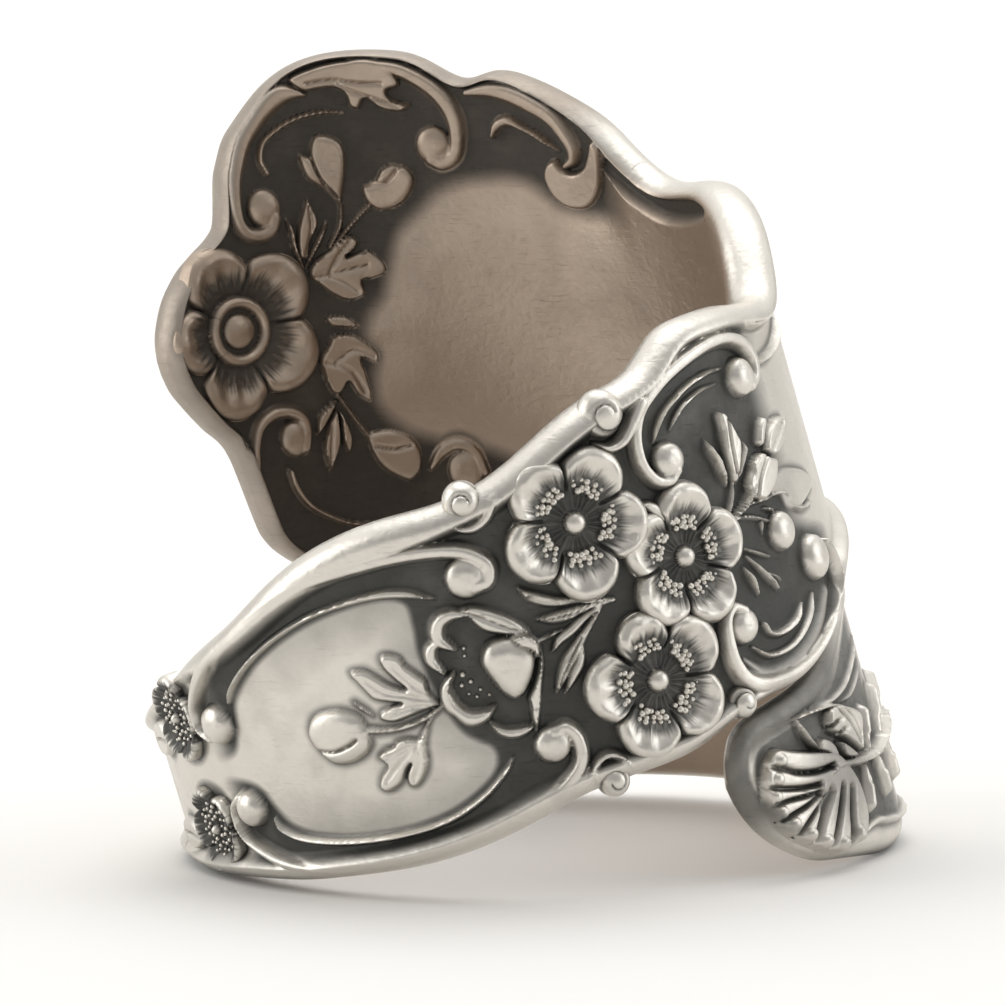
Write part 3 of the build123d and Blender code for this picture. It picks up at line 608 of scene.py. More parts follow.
TIP_LEAVES = (
    # buds and their stems
    raised(.36, .3, (456.1, 9.65), (453.1, 9.4), (452, 9.01), (452.6, 8.39), (454.2, 7.72), (455.7, 7.25),
           (456.8, 7.67), (458.4, 8), (460.2, 8.35), (460.8, 8.8), (460.4, 9.23), (458.8, 9.1),
           (457.8, 9.45)),
    groove(.14, .06, (458.6, 9.12), (457.9, 8.28), (455.8, 7.5)),
    raised(.36, .28, (444.2, 8.08), (441.7, 7.83), (441, 7.4), (442.6, 6.96), (445.5, 6.69), (448.9, 6.73),
           (450.9, 7.12), (450.9, 7.62), (448.2, 7.76), (446.6, 8.02)),
    groove(.11, .075, (443.2, 7.95), (446, 7.6), (449.8, 7.6)),
    raised(.36, .28, (462.9, -.04), (458.8, -.07), (455.1, -.5), (453.9, -1.05), (455, -1.7),
           (457.6, -1.92), (460.3, -1.58), (462.2, -1.14), (463.1, -.56)),
    groove(.11, .075, (462, -.5), (459, -.75), (455.6, -.8)),
    ridge(.26, (455.5, 7.3, .11), (456.7, 6.67, .11), (459.6, 6.1, .11)),
    ridge(.26, (450.4, 7.0, .11), (455.7, 6.45, .1), (459.6, 5.95, .1)),
    ridge(.26, (466, 1.4, .11), (464.2, .53, .11), (462.4, -.2, .11)),
    # upper spray
    raised(.34, .14, (461.3, 7.78), (460.7, 7.46), (460.6, 6.93), (462.8, 6.42), (464.3, 5.95),
           (465.8, 6.11), (464.8, 6.85), (462.9, 7.42)),
    ridge(.32, (466.1, 7.35, .05), (465.8, 6.91, .13), (466.1, 6.42, .12), (465.6, 5.7, .07)),
    ridge(.32, (459.1, 6.85, .06), (461.2, 6.41, .13), (463.4, 6.03, .1), (465, 5.7, .06)),
    groove(.1, .075, (461.4, 7.5), (462.2, 6.8), (464.8, 6.0)),
    raised(.34, .13, (464.9, 5.43), (463.3, 5.8), (461, 5.96), (458.6, 6.08), (456, 6.28), (454.3, 6.03),
           (455.4, 5.77), (457.2, 5.63), (453.2, 5.63), (450.9, 5.19), (450.8, 4.82), (453.3, 4.7),
           (455.6, 4.74), (455.8, 4.3), (459, 4.25), (461.4, 4.56), (463.4, 4.98)),
    groove(.1, .075, (464, 5.3), (459.5, 5.25), (454, 5.2)),
    groove(.09, .07, (461, 5.35), (458.4, 5.8), (455.8, 6.1)),
    groove(.09, .07, (461.2, 5.2), (458.6, 4.8), (457, 4.45)),
    # lower spray
    raised(.34, .13, (463.8, 3.35), (460.8, 3.24), (458.8, 2.95), (456.5, 2.38), (457.4, 2.08),
           (459.9, 2.35), (459.7, 1.81), (460.2, .95), (462.4, 1.24), (463.5, 1.75), (465.2, 1.53),
           (467, 1.59), (467.8, 2.24), (467.4, 2.75), (465.4, 3.08)),
    groove(.1, .075, (466.6, 2.6), (462.6, 2.1), (461, 1.3)),
    groove(.09, .07, (464.8, 2.5), (461, 2.7), (457.6, 2.3)),
    raised(.3, .1, (464, 3.98), (460.3, 3.79), (458.4, 3.34), (460.9, 3.44), (463.7, 3.67)),
    raised(.32, .12, (466.4, 1.35), (468, 1.0), (471.4, .5), (472.2, .57), (471, 1.02), (468.4, 1.26)),
    raised(.32, .12, (467.1, 1.06), (468, .08), (470.4, -.56), (471.8, -.75), (471.8, -.05), (470, .54)),
    raised(.32, .12, (466.5, .95), (465.7, .37), (465.8, -.07), (467.1, -.42), (467.8, -.11), (467.2, .55)),
    groove(.09, .07, (468.6, .7), (470, .1), (471.2, -.5)),
)

# Buttons in the curls of the scrolls
FRONT_BUTTONS = tuple(dome(.5, radius, angle, height) for angle, height, radius in (
    (217.2, -4.07, .64), (219.6, -6.71, .58), (267.8, -.97, .64), (273.5, -6.4, .58), (304.4, .28, .58),
    (325.2, 1.5, .62), (309.8, -5.2, .58), (333.3, -4.62, .72)))
TIP_BUTTONS = tuple(dome(.4, radius, angle, height) for angle, height, radius in (
    (469.6, 7.92, .66), (436.0, 8.3, .66), (476.6, .62, .62), (447, -2.1, .68)))
# Knobs that stand on the edges: angle, height, radius, rise, where the curl's line starts
KNOBS = (
    (270.5, 1.2, .58, .6, 200), (295.4, 2.3, .72, .62, 200), (281, -8.0, .5, .58, 20),
    (305.6, -7.3, .5, .56, 60))
# Flowers: angle, height, radius, turn of the first petal, seed, and the second petal's share where it is
# tucked under
BLOSSOMS = ((286.2, -.42, 2.28, -20, 3, 1), (302.6, -2.56, 2.18, 2, 5, 1), (292.2, -5.66, 2.3, 25, 8, .8))
WAIST_BLOSSOMS = ((204.7, -4.0, 1.36, 10, 2), (207.4, -7.5, 1.34, 40, 4))
TIP_BLOSSOM = (481.3, 4.5, 2.85, 29, 9)
# Grains in the cup flower: angle, height, radius
CUP_GRAINS = (
    (264.5, -2.98, .07), (264.3, -3.2, .06), (263.2, -3.72, .1), (262.6, -4.02, .08), (264.1, -3.98, .08),
    (265.2, -4.28, .06), (264.4, -4.46, .06), (263.3, -4.32, .05), (266.3, -4.5, .05))

OUTSIDE_FORMS = FIRST_PANEL + CUP_FLOWER + SECOND_PANEL + WAIST + KNOB_CURLS + FAN + FRONT_BUTTONS
INSIDE_FORMS = TIP_SCROLLS + TIP_LEAVES + TIP_BUTTONS

# Pale smooth ground within the first panel, and on the inside of the tip
PALE_PANEL = (
    (190, -5.3), (206, -5.4), (213, -5.3), (218.6, -5.0), (220.8, -4.3), (222.2, -3.5), (224.6, -2.98),
    (229, -2.38), (234.6, -1.84), (240.8, -1.4), (247, -1.14), (253, -1.06), (257.2, -1.3), (257.6, -2),
    (257.2, -2.9), (258.4, -4.2), (260.5, -5.4), (264.4, -6.1), (263.4, -6.75), (258.6, -7.3), (253, -7.62),
    (245, -7.78), (237, -7.72), (230.6, -7.52), (226.6, -7.2), (224.4, -6.7), (221.6, -6.05), (215, -5.85),
    (206, -6.0), (190, -6.2))
WARM_PANEL = (
    (350, 4.4), (388, 4.2), (402, 4.9), (413, 5.4), (420, 6.5), (428, 6.9), (436, 6.9), (442, 6.4),
    (446.5, 5.9), (449.3, 5.2), (452.6, 4.1), (456, 3.6), (457.6, 3.0), (456.6, 2.3), (458.6, 1.5),
    (459, .7), (456, -.2), (451, -.8), (442, -1.6), (430, -2.8), (410, -3.2), (380, -3.6), (350, -4.4))
NECK_RECESS = (
    (401, 6.9), (397, 6.35), (392, 5.8), (384, 5.5), (374, 5.45), (367, 5.2), (374, 4.9), (382, 4.75),
    (389, 4.85), (395, 5.35), (400, 6.0), (403.4, 6.6))


def depth_in(angle, height, rows):
    """How far places lie inside a closed line, less than nothing outside it."""
    points, line = flat(angle, height), through(rows, closed=True)
    gap, _ = nearest(points, line)
    return np.where(within(points, line), gap, -gap)


def soft(depth, margin):
    return ease(0.5 + depth / margin)


def choose(thing):
    for other in bpy.context.selected_objects:
        other.select_set(False)
    if thing:
        thing.select_set(True)
        bpy.context.view_layer.objects.active = thing


def places_of(thing):
    row = np.empty(len(thing.data.vertices) * 3)
    thing.data.vertices.foreach_get("co", row)
    return row.reshape(-1, 3)


def move_to(thing, places):
    thing.data.vertices.foreach_set("co", np.asarray(places, float).ravel())
    thing.data.update()


def mark(thing, **shares):
    """Keeps a share at each vertex for the finish to read."""
    for name, share in shares.items():
        layer = thing.data.attributes.new(name, "FLOAT", "POINT")
        layer.data.foreach_set("value", np.broadcast_to(share, len(thing.data.vertices)).astype(np.float32))


def sheet(name, columns, rows):
    """A flat grid to be shaped, with each vertex's column and row."""
    choose(None)
    bpy.ops.mesh.primitive_grid_add(x_subdivisions=columns - 1, y_subdivisions=rows - 1, size=2)
    blank = bpy.context.active_object
    blank.name = blank.data.name = name
    place = (places_of(blank)[:, :2] + 1) / 2 * (columns - 1, rows - 1)
    column, row = np.rint(place).astype(int).T
    return blank, column, row


def close_up(thing, weld):
    """Welds the seam, fills what is open and turns all faces outwards."""
    choose(thing)
    bpy.ops.object.mode_set(mode="EDIT")
    bpy.ops.mesh.select_mode(type="VERT")
    bpy.ops.mesh.select_all(action="SELECT")
    bpy.ops.mesh.remove_doubles(threshold=weld)
    bpy.ops.mesh.select_mode(type="EDGE")
    bpy.ops.mesh.select_all(action="DESELECT")
    bpy.ops.mesh.select_non_manifold(extend=False, use_wire=False, use_multi_face=False,
                                     use_non_contiguous=False, use_verts=False)
    bpy.ops.mesh.edge_face_add()
    bpy.ops.mesh.select_all(action="SELECT")
    bpy.ops.mesh.normals_make_consistent(inside=False)
    bpy.ops.mesh.select_mode(type="VERT")
    bpy.ops.object.mode_set(mode="OBJECT")
    return thing


def gathered(name, things):
    """Joins forms of one kind into one piece."""
    choose(things[0])
    for thing in things:
        thing.select_set(True)
    if len(things) > 1:
        bpy.ops.object.join()
    piece = bpy.context.view_layer.objects.active
    piece.name = piece.data.name = name
    choose(piece)
    bpy.ops.object.shade_smooth_by_angle(angle=SHARPEST_SMOOTH_EDGE)
    return piece


# Rows across the strip crowd towards its rolled edges, and more so where there are few of them
MANY_ROWS = 70
CROWDING, CROWDING_OF_MANY = 0.85, 0.34


def across(count):
    """Shares of the way across the strip, closer together where the edges roll."""
    even = np.linspace(0, 1, count)
    crowded = CROWDING_OF_MANY if count > MANY_ROWS else CROWDING
    return (1 - crowded) * even + crowded * (1 - np.cos(math.pi * even)) / 2


def front_tarnish(angle, height):
    """Dark on the front's sunk ground and round the small flowers, fading out within the pale panel, whose
    edges get painted shade, more towards its right.
    """
    last = 327 + 11 * short_of(height, -3.2, 1.2)
    pale = depth_in(angle, height, PALE_PANEL)
    # Painted shade: the pale panel darkens within its edges, more so towards its right
    painted_panel_shade = 0.26 * past(angle, 222, 16) * (1 - past(pale, 0.1, 1.5))
    dark = past(angle, 212, 7) * (1 - past(angle, last, 9)) * np.maximum(1 - soft(pale, 0.34), painted_panel_shade)
    for at_angle, at_height, radius, *_ in WAIST_BLOSSOMS:
        away = flat_distance(angle, height, at_angle, at_height) - radius
        dark = np.maximum(dark, 0.75 * (1 - ease(away / 0.32)))
    return dark


def low_end_tarnish(angle, height, gap, lift):
    """More dark on the low end: painted shade on the upper part of its rim towards the end, the front
    band's painted shadow on its high side, and darker towards the heart of its leaf fan.
    """
    # Painted shade on the upper part of the rim towards the end
    rim = 0.74 * short_of(gap, 0.74, 0.2) * short_of(angle, -32, 14) * past(height, -12.3, 1.9)
    # Painted shadow of the front band, which overlaps the high side
    shadow_on_high_side = 0.72 * past(height, -9.5, 0.8) * short_of(angle, -12, 18) * (1 - ease(lift / 0.2))
    heart = flat_distance(angle, height, -36.5, -10.9)
    leaf = 0.5 * short_of(angle, -20, 6) * (1 - past(heart, 0.5, 1.9))
    return np.maximum.reduce([rim, shadow_on_high_side, leaf])


def outside_face(angle, height, gap, share, rim):
    """Radius of the struck outside before its edges roll, and its share of tarnish and painted shade."""
    full = np.minimum(1, (high_edge(angle) - low_edge(angle)) / FULL_RIMS_FROM)
    reach = full * between(wall(angle, LOW_REACH), wall(angle, HIGH_REACH), share)
    ground = wall(angle, GROUND)
    band = short_of(gap, reach + RIM_SLOPE, RIM_SLOPE)
    lift, foot = strike(angle, height, OUTSIDE_FORMS)
    top = np.maximum(ground + (rim - ground) * band, ground + lift)
    low_ground = 0.85 * (1 - past(angle, -14, 12)) * (1 - short_of(gap, 0.98, 0.26))
    dark = np.maximum(front_tarnish(angle, height), low_ground)
    tarnish = np.maximum(dark, 0.7 * foot) * (1 - past(lift, 0.01, 0.17)) * (1 - band) ** 0.55
    return top, np.maximum(tarnish, low_end_tarnish(angle, height, gap, lift))


# The inside of the tip: where its ornament begins, how deep its ground is sunk, how far its forms stand up
# from the deepest ground, and where its high rim, which is narrower, begins
TIP_ORNAMENT_FROM = 397
SUNK = 0.34
DEEPEST = 0.4
HIGH_RIM_FROM, HIGH_RIM_EASES = 6, 1.2
BORE_PLAY = 0.01


def inside_face(angle, height, gap):
    """Radius of the inside before its edges roll, and its share of tarnish and painted shade."""
    ornament = past(angle, TIP_ORNAMENT_FROM, 9)
    warm = depth_in(angle, height, WARM_PANEL)
    hollow, dark = ornament * (1 - soft(warm, 3.4)), ornament * (1 - soft(warm, 0.8))
    recess = soft(depth_in(angle, height, NECK_RECESS), 0.35)
    high = past(height, HIGH_RIM_FROM, HIGH_RIM_EASES) * ornament
    rim = short_of(gap, 0.44 - 0.2 * high, 0.2 - 0.06 * high)
    lift, foot = strike(angle, height, INSIDE_FORMS)
    drop = SUNK * np.maximum(hollow, recess) * (1 - rim)
    bottom = BORE_RADIUS + BORE_PLAY + np.clip(np.minimum(drop, DEEPEST - lift), 0, DEEPEST)
    tarnish = np.maximum.reduce([dark, recess, 0.6 * foot]) * (1 - rim) * (1 - past(lift, 0.01, 0.15))
    # Painted shade on the tip's rolled rims, inside the ring
    return bottom, np.maximum(tarnish, 0.3 * ornament * rim)


# How far in the strip's edges roll, how much less on the tip, and where in the wall the roll's middle lies
ROLL, ROLL_LESS = 0.62, 0.16
ROLL_MIDDLE = 0.46
SEAM_WELD = 2e-7


def stretch_of_strip(name, angles, outside_rows, inside_rows):
    """One closed stretch of the strip: struck outside, inside and rolled edges."""
    out, back = across(outside_rows), across(inside_rows)[::-1]
    loop = np.concatenate([out, back[1:-1], out[:1]])
    behind = np.arange(len(loop)) >= len(out)
    behind[-1] = False
    blank, column, row = sheet(name, len(angles), len(loop))
    angle, share, inner = angles[column], loop[row], behind[row]
    low = low_edge(angle)
    height = low + share * (high_edge(angle) - low)
    gap = rim_distance(flat(angle, height))
    gap[(share < 1e-9) | (share > 1 - 1e-9)] = 0
    gap[(angle < FIRST_ANGLE + 1e-6) | (angle > LAST_ANGLE - 1e-6)] = 0
    rim = between(wall(angle, LOW_RIM), wall(angle, HIGH_RIM), share)
    middle = BORE_RADIUS + ROLL_MIDDLE * (rim - BORE_RADIUS)
    face, tarnish = np.empty(len(angle)), np.empty(len(angle))
    o, i = ~inner, inner
    face[o], tarnish[o] = outside_face(angle[o], height[o], gap[o], share[o], rim[o])
    face[i], tarnish[i] = inside_face(angle[i], height[i], gap[i])
    roll = ROLL - ROLL_LESS * past(angle, 396, 10) * (1 + past(height, HIGH_RIM_FROM, HIGH_RIM_EASES))
    move_to(blank, wrapped(angle, height, middle + (face - middle) * quarter_round(gap / roll)))
    # Painted shade on the tip's rolled edges: darker, and given the inside's browner, darker silver
    tip_edge_shade = 0.7 * past(angle, 400, 10) * short_of(gap, 0.45, 0.3)
    mark(blank, tarnish=np.maximum(tarnish, 0.35 * tip_edge_shade),
         inside=np.maximum(inner * past(gap, 0.04, 0.3), tip_edge_shade))
    close_up(blank, SEAM_WELD)
    bpy.ops.object.shade_smooth_by_angle(angle=SHARPEST_SMOOTH_EDGE)
    return blank


def set_on(thing, angle, height, turn=0, lift=0, inside=False):
    """Sets a form on the strip: its X and Y run along it, its Z stands out, its turn is in degrees."""
    co = places_of(thing)
    c, s = math.cos(turn * DEGREE), math.sin(turn * DEGREE)
    u, v, w = c * co[:, 0] - s * co[:, 1], s * co[:, 0] + c * co[:, 1], co[:, 2]
    if inside:
        angle = angle - u / (TIP_DRAWN_RADIUS * DEGREE)
        place = wrapped(angle, height + v, BORE_RADIUS + DEEPEST - lift - w)
    else:
        place = wrapped(angle + u / MM_PER_DEGREE, height + v, wall(angle, GROUND) + lift + w)
    mark(thing, inside=float(inside))
    move_to(thing, place)
    choose(thing)
    bpy.ops.object.mode_set(mode="EDIT")
    bpy.ops.mesh.select_all(action="SELECT")
    bpy.ops.mesh.normals_make_consistent(inside=False)
    bpy.ops.object.mode_set(mode="OBJECT")
    return thing


# The spiral line of a curled knob: its turns over the knob's radius, half width, depth and tarnish
CURL_TURNS = 1.5
CURL_HALF = 0.12
CURL_DEPTH = 0.13
CURL_TARNISH = 0.55


def boss(radius, rise, detail=16, tarnish=0.0, curl=None):
    """A domed round boss on its own Z, plain or with a spiral line that starts at an angle."""
    choose(None)
    bpy.ops.mesh.primitive_uv_sphere_add(segments=2 * detail, ring_count=detail, radius=1)
    knob = bpy.context.active_object
    co = places_of(knob)
    if curl is not None:
        out = np.hypot(co[:, 0], co[:, 1])
        turn = np.arctan2(co[:, 1], co[:, 0]) / (2 * math.pi) - curl / 360
        line = 0.5 - np.abs((out * CURL_TURNS - turn) % 1 - 0.5)
        cut = np.exp(-(line / CURL_HALF) ** 2) * past(out, 0.22, 0.15) * (co[:, 2] > -0.1)
        co = co * (1 - CURL_DEPTH * cut)[:, None]
        tarnish = CURL_TARNISH * cut
    move_to(knob, co * (radius, radius, rise))
    mark(knob, tarnish=tarnish)
    return knob


# A flower's proportions, as shares of its radius: where its petals are centred, their size, the round eye,
# the width of the ring in it, the rolled lip of a petal and the crease between two petals
PETAL_PLACE, PETAL_SIZE = 0.565, 0.455
EYE, EYE_SLOPE = 0.36, 0.1
RING_HALF = 0.07
LIP = 0.17
CREASE_HALF = 0.022
SKIRT = -0.25


def blossom(radius, offset, height, ring=0.0, heart=0.15, sizes=(1,) * PETALS, seed=1, spokes=240, rings=64,
            dish=0.0):
    """A flower as one closed form: five lipped petals round a striped eye and a round heart."""
    chance = np.random.default_rng(seed)
    blank, column, row = sheet("blossom", spokes + 1, rings)
    theta, share = column / spokes * 2 * math.pi, row / (rings - 1)
    step = 2 * math.pi / PETALS
    petal = np.floor((theta - offset * DEGREE + step / 2) / step).astype(int) % PETALS
    way = offset * DEGREE + petal * step
    off = (theta - way + math.pi) % (2 * math.pi) - math.pi
    size = PETAL_SIZE * np.array(sizes)[petal]
    ruffle = 1 + 0.02 * np.cos(5 * off + chance.uniform(0, 6, PETALS)[petal]) + 0.015 * np.cos(9 * off)
    half_chord = np.sqrt(np.maximum((size * ruffle) ** 2 - (PETAL_PLACE * np.sin(off)) ** 2, 1e-4))
    out = (PETAL_PLACE * np.cos(off) + half_chord) * np.minimum(share / 0.97, 1) ** 0.85
    x, y = out * np.cos(theta), out * np.sin(theta)
    from_x, from_y = x - PETAL_PLACE * np.cos(way), y - PETAL_PLACE * np.sin(way)
    from_middle = np.hypot(from_x, from_y)
    inward = np.clip(size - from_middle, 0, 1)
    facing = (from_x * np.cos(way) + from_y * np.sin(way)) / np.maximum(from_middle, 0.01)
    swell = height * (1 + chance.uniform(-0.1, 0.08, PETALS)[petal])
    deep = inward * (1.9 - 0.9 * facing) + 0.5 * dish
    lip = quarter_round((inward + 0.012) / LIP) * (1 - 0.7 * past(deep, 0.1, 0.42))
    floor = 0.15 * height * quarter_round(inward / 0.08)
    w = floor + (swell - floor) * lip * past(out, 0.3 + dish, 0.3)
    w += 0.04 * height * np.cos(18 * off) * past(out, 0.35, 0.2) * (1 - past(out, 0.8, 0.2))
    seam = np.abs(np.sin(step / 2 - np.abs(off))) * out
    w -= 0.4 * height * np.exp(-(seam / CREASE_HALF) ** 2) * past(out, 0.3, 0.2)
    eye = 1 - past(out, EYE, EYE_SLOPE)
    stamens = 0.05 * np.cos(22 * theta + 1.5 * np.cos(5 * theta)) * past(out, heart, 0.08)
    w = w * (1 - eye) + eye * height * (0.14 + stamens)
    from_ring = np.abs(out - ring)
    on_ring = from_ring < RING_HALF if ring else np.zeros(len(out), bool)
    w = np.where(on_ring, np.maximum(w, height * 0.8 * quarter_round(1 - from_ring / RING_HALF)), w)
    w = np.where(out < heart, height * (0.14 + 0.62 * quarter_round(1 - out / heart)), w)
    w = np.where(share > 0.985, SKIRT, w)
    move_to(blank, np.stack([x * radius, y * radius, w], -1))
    streak = 0.045 * np.cos(37 * theta + np.cos(7 * theta)) + 0.035 * np.cos(59 * theta + 1)
    dim = np.maximum(1 - past(out + streak, 0.53 + dish, 0.16), 0.8 * past(deep + 1.3 * streak, 0.32, 0.2))
    mark(blank, tarnish=0.95 * np.where((out < heart) | on_ring, 0, dim))
    return close_up(blank, 1e-5)


# Small grains: their mesh's detail, a share of tarnish and painted shade below nothing that keeps them
# bright, and the turn from one seed to the next
GRAIN_DETAIL = 6
GRAIN_SHINE, CUP_GRAIN_SHINE = -0.7, -0.4
GOLDEN_TURN = 2.39996


def dotted(name, dots):
    """Many small round grains as one piece, from rows of place, height and size."""
    grains = []
    for x, y, z, size in dots:
        grain = boss(size, size * 1.2, detail=GRAIN_DETAIL, tarnish=GRAIN_SHINE)
        move_to(grain, places_of(grain) + (x, y, z + 0.4 * size))
        grains.append(grain)
    return gathered(name, grains)


def anthers(radius, offset, height, seed, count=15, rows=3):
    """A cluster of small round anthers on each petal's foot, set in rows."""
    chance = np.random.default_rng(seed)
    dots = []
    for petal in range(PETALS):
        for k in range(count):
            spread = (k - count // 2) * 3.5 + chance.uniform(-3, 3)
            turn = (offset + 360 / PETALS * petal + spread) * DEGREE
            out = radius * (0.475 + 0.066 * (k % rows - 1) + chance.uniform(-0.02, 0.02))
            size = radius * chance.uniform(0.036, 0.055)
            dots.append((out * math.cos(turn), out * math.sin(turn), 0.17 * height, size))
    return dotted("anthers", dots)


def seeds(radius, height, seed, first=5, count=44):
    """A disc of small round grains, set as seeds are, for the small flowers."""
    chance = np.random.default_rng(seed)
    dots = []
    for k in range(first, count):
        turn, out = k * GOLDEN_TURN, radius * 0.66 * math.sqrt(k / count)
        size = radius * chance.uniform(0.032, 0.055)
        dots.append((out * math.cos(turn), out * math.sin(turn), 0.12 * height, size))
    return dotted("seeds", dots)


class Wire:
    """A shader socket that can stand in sums."""

    tree = None

    def __init__(self, socket):
        self.socket = socket

    @classmethod
    def node(cls, kind, settings=None, **values):
        """A node by its type: settings first, then its sockets' values or links."""
        made = cls.tree.nodes.new(kind)
        for name, setting in (settings or {}).items():
            setattr(made, name, setting)
        for name, value in values.items():
            numbered = name[1:].isdigit()
            socket = made.inputs[int(name[1:]) if numbered else name.replace("_", " ")]
            if isinstance(value, Wire):
                cls.tree.links.new(value.socket, socket)
            else:
                socket.default_value = value
        return made

    @classmethod
    def maths(cls, operation, *values, clamp=False):
        numbered = {f"n{i}": value for i, value in enumerate(values)}
        settings = {"operation": operation, "use_clamp": clamp}
        return cls(cls.node("ShaderNodeMath", settings, **numbered).outputs[0])

    def __add__(self, other):
        return Wire.maths("ADD", self, other)

    def __sub__(self, other):
        return Wire.maths("SUBTRACT", self, other)

    def __rsub__(self, other):
        return Wire.maths("SUBTRACT", other, self)

    def __mul__(self, other):
        return Wire.maths("MULTIPLY", self, other)

    def __pow__(self, other):
        return Wire.maths("POWER", self, other)

    __radd__, __rmul__ = __add__, __mul__

    def clipped(self):
        return Wire.maths("ADD", self, 0.0, clamp=True)


def blend(share, first, second):
    return Wire(Wire.node("ShaderNodeMix", {"data_type": "RGBA"}, n0=share, n6=first, n7=second).outputs[2])


def noise(places, scale, detail):
    made = Wire.node("ShaderNodeTexNoise", None, Vector=places, Scale=scale, Detail=detail)
    return Wire(made.outputs["Fac"])


def vertex_share(name):
    return Wire(Wire.node("ShaderNodeAttribute", {"attribute_name": name}).outputs["Fac"])


def own_places():
    return Wire(Wire.node("ShaderNodeTexCoord").outputs["Object"])


def fresh_material(name):
    """A material with an empty node tree, which the next wires go into."""
    made = bpy.data.materials.new(name)
    made.use_nodes = True
    Wire.tree = made.node_tree
    Wire.tree.nodes.clear()
    return made


SILVER = (0.69, 0.66, 0.605, 1)
WORN_SILVER = (0.43, 0.40, 0.36, 1)
# Inside the ring the silver is browner, and darker as painted shade
WARM_SHADED_SILVER = (0.47, 0.385, 0.31, 1)
WARM_STAIN = (0.30, 0.235, 0.185, 1)
TARNISH = (0.060, 0.060, 0.056, 1)
WARM_TARNISH = (0.068, 0.060, 0.051, 1)
# Scales of the patterns in the metal, and how much longer scratches are round the ring than up it
CLOUD_SCALE, MOTTLE_SCALE, SCRATCH_SCALE, GRAIN_SCALE = 240.0, 1100.0, 1500.0, 5200.0
SCRATCH_STRETCH = (1, 1, 9)
# How near other metal must be to give a place painted shade, and how high the bumps of wear are, in metres
CREVICE = 0.0006
BUMP_HEIGHT = 0.00003


def struck_silver():
    """Satin silver: bright where it is rubbed, dark grey where it is sunk, with painted shade where other
    metal is near, browner inside the ring and darker there as painted shade.
    """
    finish = fresh_material("struck_silver")
    places = own_places()
    tarnish, inside = vertex_share("tarnish"), vertex_share("inside")
    openness = Wire.node("ShaderNodeAmbientOcclusion", {"samples": 8}, Distance=CREVICE)
    sheltered = 1 - Wire(openness.outputs["AO"])
    mottle, cloud = noise(places, MOTTLE_SCALE, 4.0), noise(places, CLOUD_SCALE, 3.0)
    grain = noise(places, GRAIN_SCALE, 3.0)
    stretched = Wire.node("ShaderNodeVectorMath", {"operation": "MULTIPLY"}, n0=places, n1=SCRATCH_STRETCH)
    scratch = ((noise(Wire(stretched.outputs[0]), SCRATCH_SCALE, 2.0) - 0.6) * 7.0).clipped()
    # Painted shade: the colour darkens where the occlusion node finds other metal near
    shade = Wire.maths("MAXIMUM", sheltered * 1.3 - 0.26, 0.0)
    uneven = (mottle - 0.5) * 0.2 + (cloud - 0.5) * 0.22
    # Tarnish, painted shade, scratches and uneven tone together darken the colour
    grime_and_shade = (tarnish + shade + scratch * 0.04 + uneven - 0.02).clipped()
    worn_down = ((mottle - 0.38) * 1.1).clipped()
    stain = ((cloud - 0.42) * 1.6 * inside).clipped()
    bright = blend(worn_down * 0.3, blend(inside, SILVER, WARM_SHADED_SILVER), WORN_SILVER)
    dark = blend(inside, TARNISH, WARM_TARNISH)
    colour = blend(grime_and_shade ** 0.8, blend(stain * 0.5, bright, WARM_STAIN), dark)
    uneven_satin = (cloud - 0.5) * 0.12 + (grain - 0.5) * 0.2 + scratch * 0.1
    roughness = 0.38 + grime_and_shade * 0.14 + inside * 0.06 + uneven_satin
    worn = Wire(Wire.node("ShaderNodeBump", None, Strength=0.5, Distance=BUMP_HEIGHT,
                          Height=grain + mottle * 1.4 + scratch * 0.2).outputs["Normal"])
    shine = Wire.node("ShaderNodeBsdfPrincipled", None, Base_Color=colour, Metallic=1 - grime_and_shade * 0.3,
                      Roughness=roughness.clipped(), Normal=worn)
    Wire.node("ShaderNodeOutputMaterial", None, Surface=Wire(shine.outputs["BSDF"]))
    return finish


def low_end():
    """The rounded end that carries the leaf fan."""
    angles = np.concatenate([np.linspace(FIRST_ANGLE, -57, 14), np.linspace(-56.8, -23, 180),
                             np.linspace(-22.7, 12, 100)])
    return stretch_of_strip("low_end", angles, 150, 40)


def back_run():
    """The plain stem round the back."""
    return stretch_of_strip("back_run", np.linspace(12, 188, 110), 70, 40)


def front_band():
    """The waist, the first panel, the cup flower and the ground of the first open flower."""
    return stretch_of_strip("front_band", np.linspace(188, 289, 320), 240, 40)


def shoulder_band():
    """The ground of the other open flowers and the scrolls of the second panel."""
    return stretch_of_strip("shoulder_band", np.linspace(289, 319, 180), 260, 40)


def turning_band():
    """The second panel's leaves, where the strip turns away."""
    return stretch_of_strip("turning_band", np.linspace(319, 350, 170), 260, 40)


def neck():
    """The plain neck that climbs behind the front."""
    return stretch_of_strip("neck", np.linspace(350, 396, 90), 240, 180)


def tip_root():
    """The first half of the tip, with ornament on its inside."""
    return stretch_of_strip("tip_root", np.linspace(396, 444, 230), 70, 300)


def tip():
    """The lobed end of the strip, with buds, leaves and scrolls on its inside."""
    angles = np.concatenate([np.linspace(444, 484, 190)[:-1], np.linspace(484, LAST_ANGLE, 66)])
    return stretch_of_strip("tip", angles, 70, 300)


# How far flowers stand up, and how far their feet are lifted off the ground
FLOWER_RISE, WAIST_FLOWER_RISE, TIP_FLOWER_RISE = 0.52, 0.4, 0.4
FLOWER_LIFT, WAIST_FLOWER_LIFT, TIP_FLOWER_LIFT, CUP_GRAIN_LIFT = 0.04, 0.02, -0.02, 0.02
KNOB_DETAIL = 36


